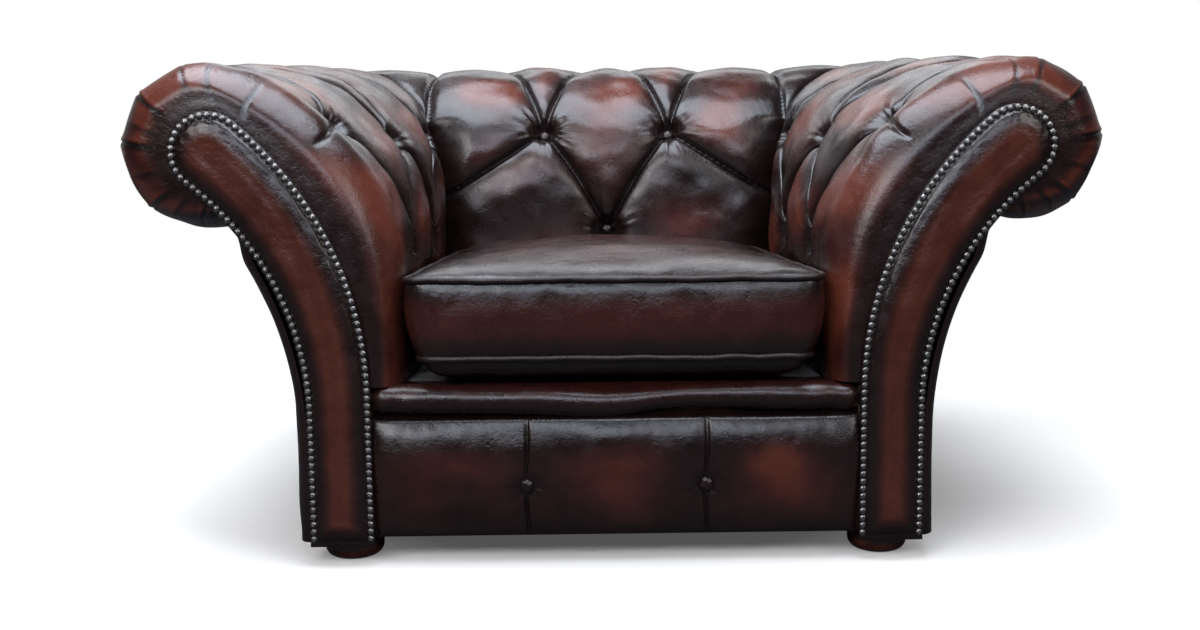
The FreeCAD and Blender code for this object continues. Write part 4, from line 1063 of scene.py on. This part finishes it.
def finish_cushion(points):
    """Draws the seams in, bows the sides and adds fine ripples; also gives its tone: redder in the
    middle of the top and band, darker towards the edges and seams, and painted shade over the whole
    underside.
    """
    z = points[:, 2]
    seam = np.abs(z - seam_high)
    low = np.abs(z - seam_low)
    near = bell(seam, 9) + bell(low, 9)
    way = points - points.mean(axis=0)
    way[:, 2] = 0
    way /= np.linalg.norm(way, axis=1, keepdims=True) + 1e-9
    ripple = waves(points * np.array([1, 1, 0.25]), 24, 14)
    ripple = ripple * bell(np.minimum(seam, low) - 10, 12)
    band = (z > seam_low) & (z < seam_high)
    share = unit((z - seam_low) / (seam_high - seam_low))
    bow = 7.0 * np.sin(pi * share ** 0.8) * smooth((np.abs(points[:, 0]) - 150) / 90) * band
    bow *= smooth((40 - points[:, 1]) / 200)
    points[:, 0] += np.sign(points[:, 0]) * bow
    points += way * (ripple * 0.16 * band - near * 1.5)[:, None]
    top = z > seam_high
    points[:, 2] += np.where(top, ripple * 0.06 + 0.7 * waves(points[:, :2], 160), 0)
    points[:, 2] = np.maximum(points[:, 2], cushion_low)
    reach = np.maximum(np.abs(points[:, 0]) / 262, np.abs(points[:, 1] - 5 + 172) / 292)
    rub_and_shade = np.where(top, smooth((1.05 - reach) / 0.60) * 0.50,
                   smooth(np.minimum(seam, low) / 40) * 0.62)
    # The underside gets the darkest colour: painted shade.
    return points, np.where(z < seam_low, 0.0, rub_and_shade)


def cushion():
    """The stuffed cushion and its two corded seams."""
    verts, faces = cushion_start(cushion_crown * 0.55)
    piece = add_mesh("seat_cushion", verts, faces, looks["cushion_leather"])
    modify(piece, "REMESH", mode="VOXEL", voxel_size=voxel * MM)
    simulate(piece)
    soften(piece)
    settle_crown(piece)
    modify(piece, "SUBSURF", levels=1, render_levels=1)
    points, rub_and_shade = finish_cushion(read_points(piece) / MM)
    write_points(piece, points * MM)
    piece.data.materials.clear()
    piece.data.materials.append(looks["cushion_leather"])
    dress(piece, rub_and_shade, "cushion",
          ["cushion_underside", "cushion_band", "cushion_top_panel", "cushion_core"])
    for name, z, narrow in (("top", seam_high, 0.0), ("bottom", seam_low, cushion_draw)):
        verts, faces = tube_mesh(densified(cushion_ring(z, 1.2, narrow, 0.0, 4.0)), cord_radius)
        add_piece("cushion_cord_" + name, verts, "piping_leather", ["cushion_piping_" + name],
                  faces, 0.12, "cushion")


def dress_frame():
    """Procedural materials for the nodes of the frame that stay."""
    parts = {"rail": "beech", "board": "beech", "post": "beech", "blocks": "beech",
             "webbing": "hessian", "hessian": "hessian", "dust": "black_cloth", "zip": "zip_tape",
             "slider": "steel", "screws": "steel", "bolts": "steel", "tee": "steel",
             "springs": "steel", "clips": "steel", "nails": "nails", "_foot": "feet"}
    for name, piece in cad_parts.items():
        for word, look in parts.items():
            if word in name:
                for slot in piece.material_slots:
                    slot.material = looks[look]


# Camera, lights and floor
camera_place = (-32.9, -1995.0, 508.7)
camera_turn = (0.00885, 0.11981, -0.01036)    # yaw, pitch and roll in radians
camera_lens = 37.11


def camera():
    """The photograph's viewpoint."""
    yaw, pitch, roll = camera_turn
    ahead = Vector((sin(yaw) * cos(pitch), cos(yaw) * cos(pitch), -sin(pitch)))
    right = Vector((cos(yaw), -sin(yaw), 0))
    up = right.cross(ahead)
    across = right * cos(roll) + up * sin(roll)
    upward = up * cos(roll) - right * sin(roll)
    data = bpy.data.cameras.new("camera")
    data.lens = camera_lens
    data.sensor_width = 36.0
    data.clip_end = 100
    view = bpy.data.objects.new("camera", data)
    bpy.context.collection.objects.link(view)
    turned = Matrix((across, upward, -ahead)).transposed().to_4x4()
    view.matrix_world = Matrix.Translation(Vector(camera_place) * MM) @ turned
    bpy.context.scene.camera = view


def softbox(name, place, target, size, power, colour):
    """A rectangular studio lamp."""
    data = bpy.data.lights.new(name, "AREA")
    data.shape = "RECTANGLE"
    data.size, data.size_y = size
    data.energy = power
    data.color = colour
    lamp = bpy.data.objects.new(name, data)
    bpy.context.collection.objects.link(lamp)
    lamp.location = place
    lamp.rotation_euler = (Vector(target) - Vector(place)).to_track_quat("-Z", "Y").to_euler()


def seen_directly(tree):
    """1 for rays that show a surface itself, and 0 for its light."""
    camera_ray = make_node(tree, "LightPath", out="Is Camera Ray")
    return maths(tree, "MAXIMUM", camera_ray, camera_ray.node.outputs["Is Transmission Ray"])


def surroundings():
    """White for the camera, dim for the light, and a pale backdrop behind the chair in gloss."""
    world = bpy.data.worlds.new("studio")
    bpy.context.scene.world = world
    tree = clear_nodes(world)
    way = make_node(tree, "TexCoord", out="Generated")
    behind = make_node(tree, "SeparateXYZ", out="Y", Vector=way)
    backdrop = make_node(tree, "MapRange", Value=behind, From_Min=0.25, From_Max=0.80, To_Max=0.35)
    glossy = make_node(tree, "LightPath", out="Is Glossy Ray")
    mirrored = maths(tree, "MULTIPLY", backdrop, glossy)
    seen = maths(tree, "MAXIMUM", seen_directly(tree), mirrored)
    dim = make_node(tree, "Background", Color=(0.66, 0.76, 1.0, 1), Strength=0.04)
    white = make_node(tree, "Background", Color=(1, 1, 1, 1), Strength=1.0)
    both = make_node(tree, "MixShader", i0=seen, i1=dim, i2=white)
    tree.links.new(both, tree.nodes.new("ShaderNodeOutputWorld").inputs[0])


def floor():
    """A pale floor that keeps the chair's shadow, glows less near the chair as a painted shadow round
    it, and fades to white away from it.
    """
    material = bpy.data.materials.new("studio_floor")
    tree = clear_nodes(material)
    place = make_node(tree, "TexCoord", out="Object")
    away = make_node(tree, "VectorMath", {"operation": "LENGTH"}, "Value", i0=place)
    far = make_node(tree, "MapRange", Value=away, From_Min=0.9, From_Max=1.9)
    seen = seen_directly(tree)
    pale = make_node(tree, "BsdfDiffuse", Color=(0.88, 0.85, 0.81, 1))
    grey = make_node(tree, "BsdfDiffuse", Color=(0.08, 0.08, 0.085, 1))
    lit = make_node(tree, "MixShader", i0=seen, i1=grey, i2=pale)
    # Painted light on the floor: its glow rises from 0.08 near the chair to 0.40 away from it, which
    # leaves a painted shadow round the chair.
    open_floor = make_node(tree, "MapRange", Value=away, From_Min=0.42, From_Max=0.85, To_Min=0.08,
                           To_Max=0.40)
    shine = maths(tree, "MULTIPLY", open_floor, seen)
    glow = make_node(tree, "Emission", Color=(1, 1, 1, 1), Strength=shine)
    near = make_node(tree, "AddShader", i0=lit, i1=glow)
    white = make_node(tree, "Emission", Color=(1, 1, 1, 1), Strength=1.0)
    fade = maths(tree, "MULTIPLY", far, seen)
    both = make_node(tree, "MixShader", i0=fade, i1=near, i2=white)
    tree.links.new(both, tree.nodes.new("ShaderNodeOutputMaterial").inputs[0])
    bpy.ops.mesh.primitive_circle_add(vertices=96, radius=9.0, fill_type="NGON")
    ground = bpy.context.object
    ground.name = "floor"
    ground.data.materials.append(material)


def studio():
    """White surroundings, pale floor and soft lamps."""
    bpy.context.scene.view_settings.view_transform = "Standard"
    surroundings()
    floor()
    softbox("overhead", (-0.25, -0.30, 2.2), (-0.05, 0, 0.4), (2.5, 1.4), 82, (0.82, 0.89, 1.0))
    softbox("front_high", (-0.3, -3.1, 1.95), (0, 0, 0.35), (2.6, 0.9), 42, (0.80, 0.86, 1.0))
    softbox("front_left", (-1.6, -2.5, 2.0), (-0.1, 0, 0.4), (1.3, 1.3), 30, (1.0, 0.96, 0.94))
    softbox("front_right", (1.8, -2.2, 1.8), (0.1, 0, 0.4), (0.9, 1.1), 15, (1.0, 0.97, 0.95))
    softbox("behind", (0.0, 1.9, 1.9), (0, 0, 0.5), (2.4, 0.8), 10, (0.92, 0.95, 1.0))


camera()
studio()
skin()
deep_buttons()
facings()
outer_panels()
front_lip()
front_border()
seat_deck()
cushion()
dress_frame()
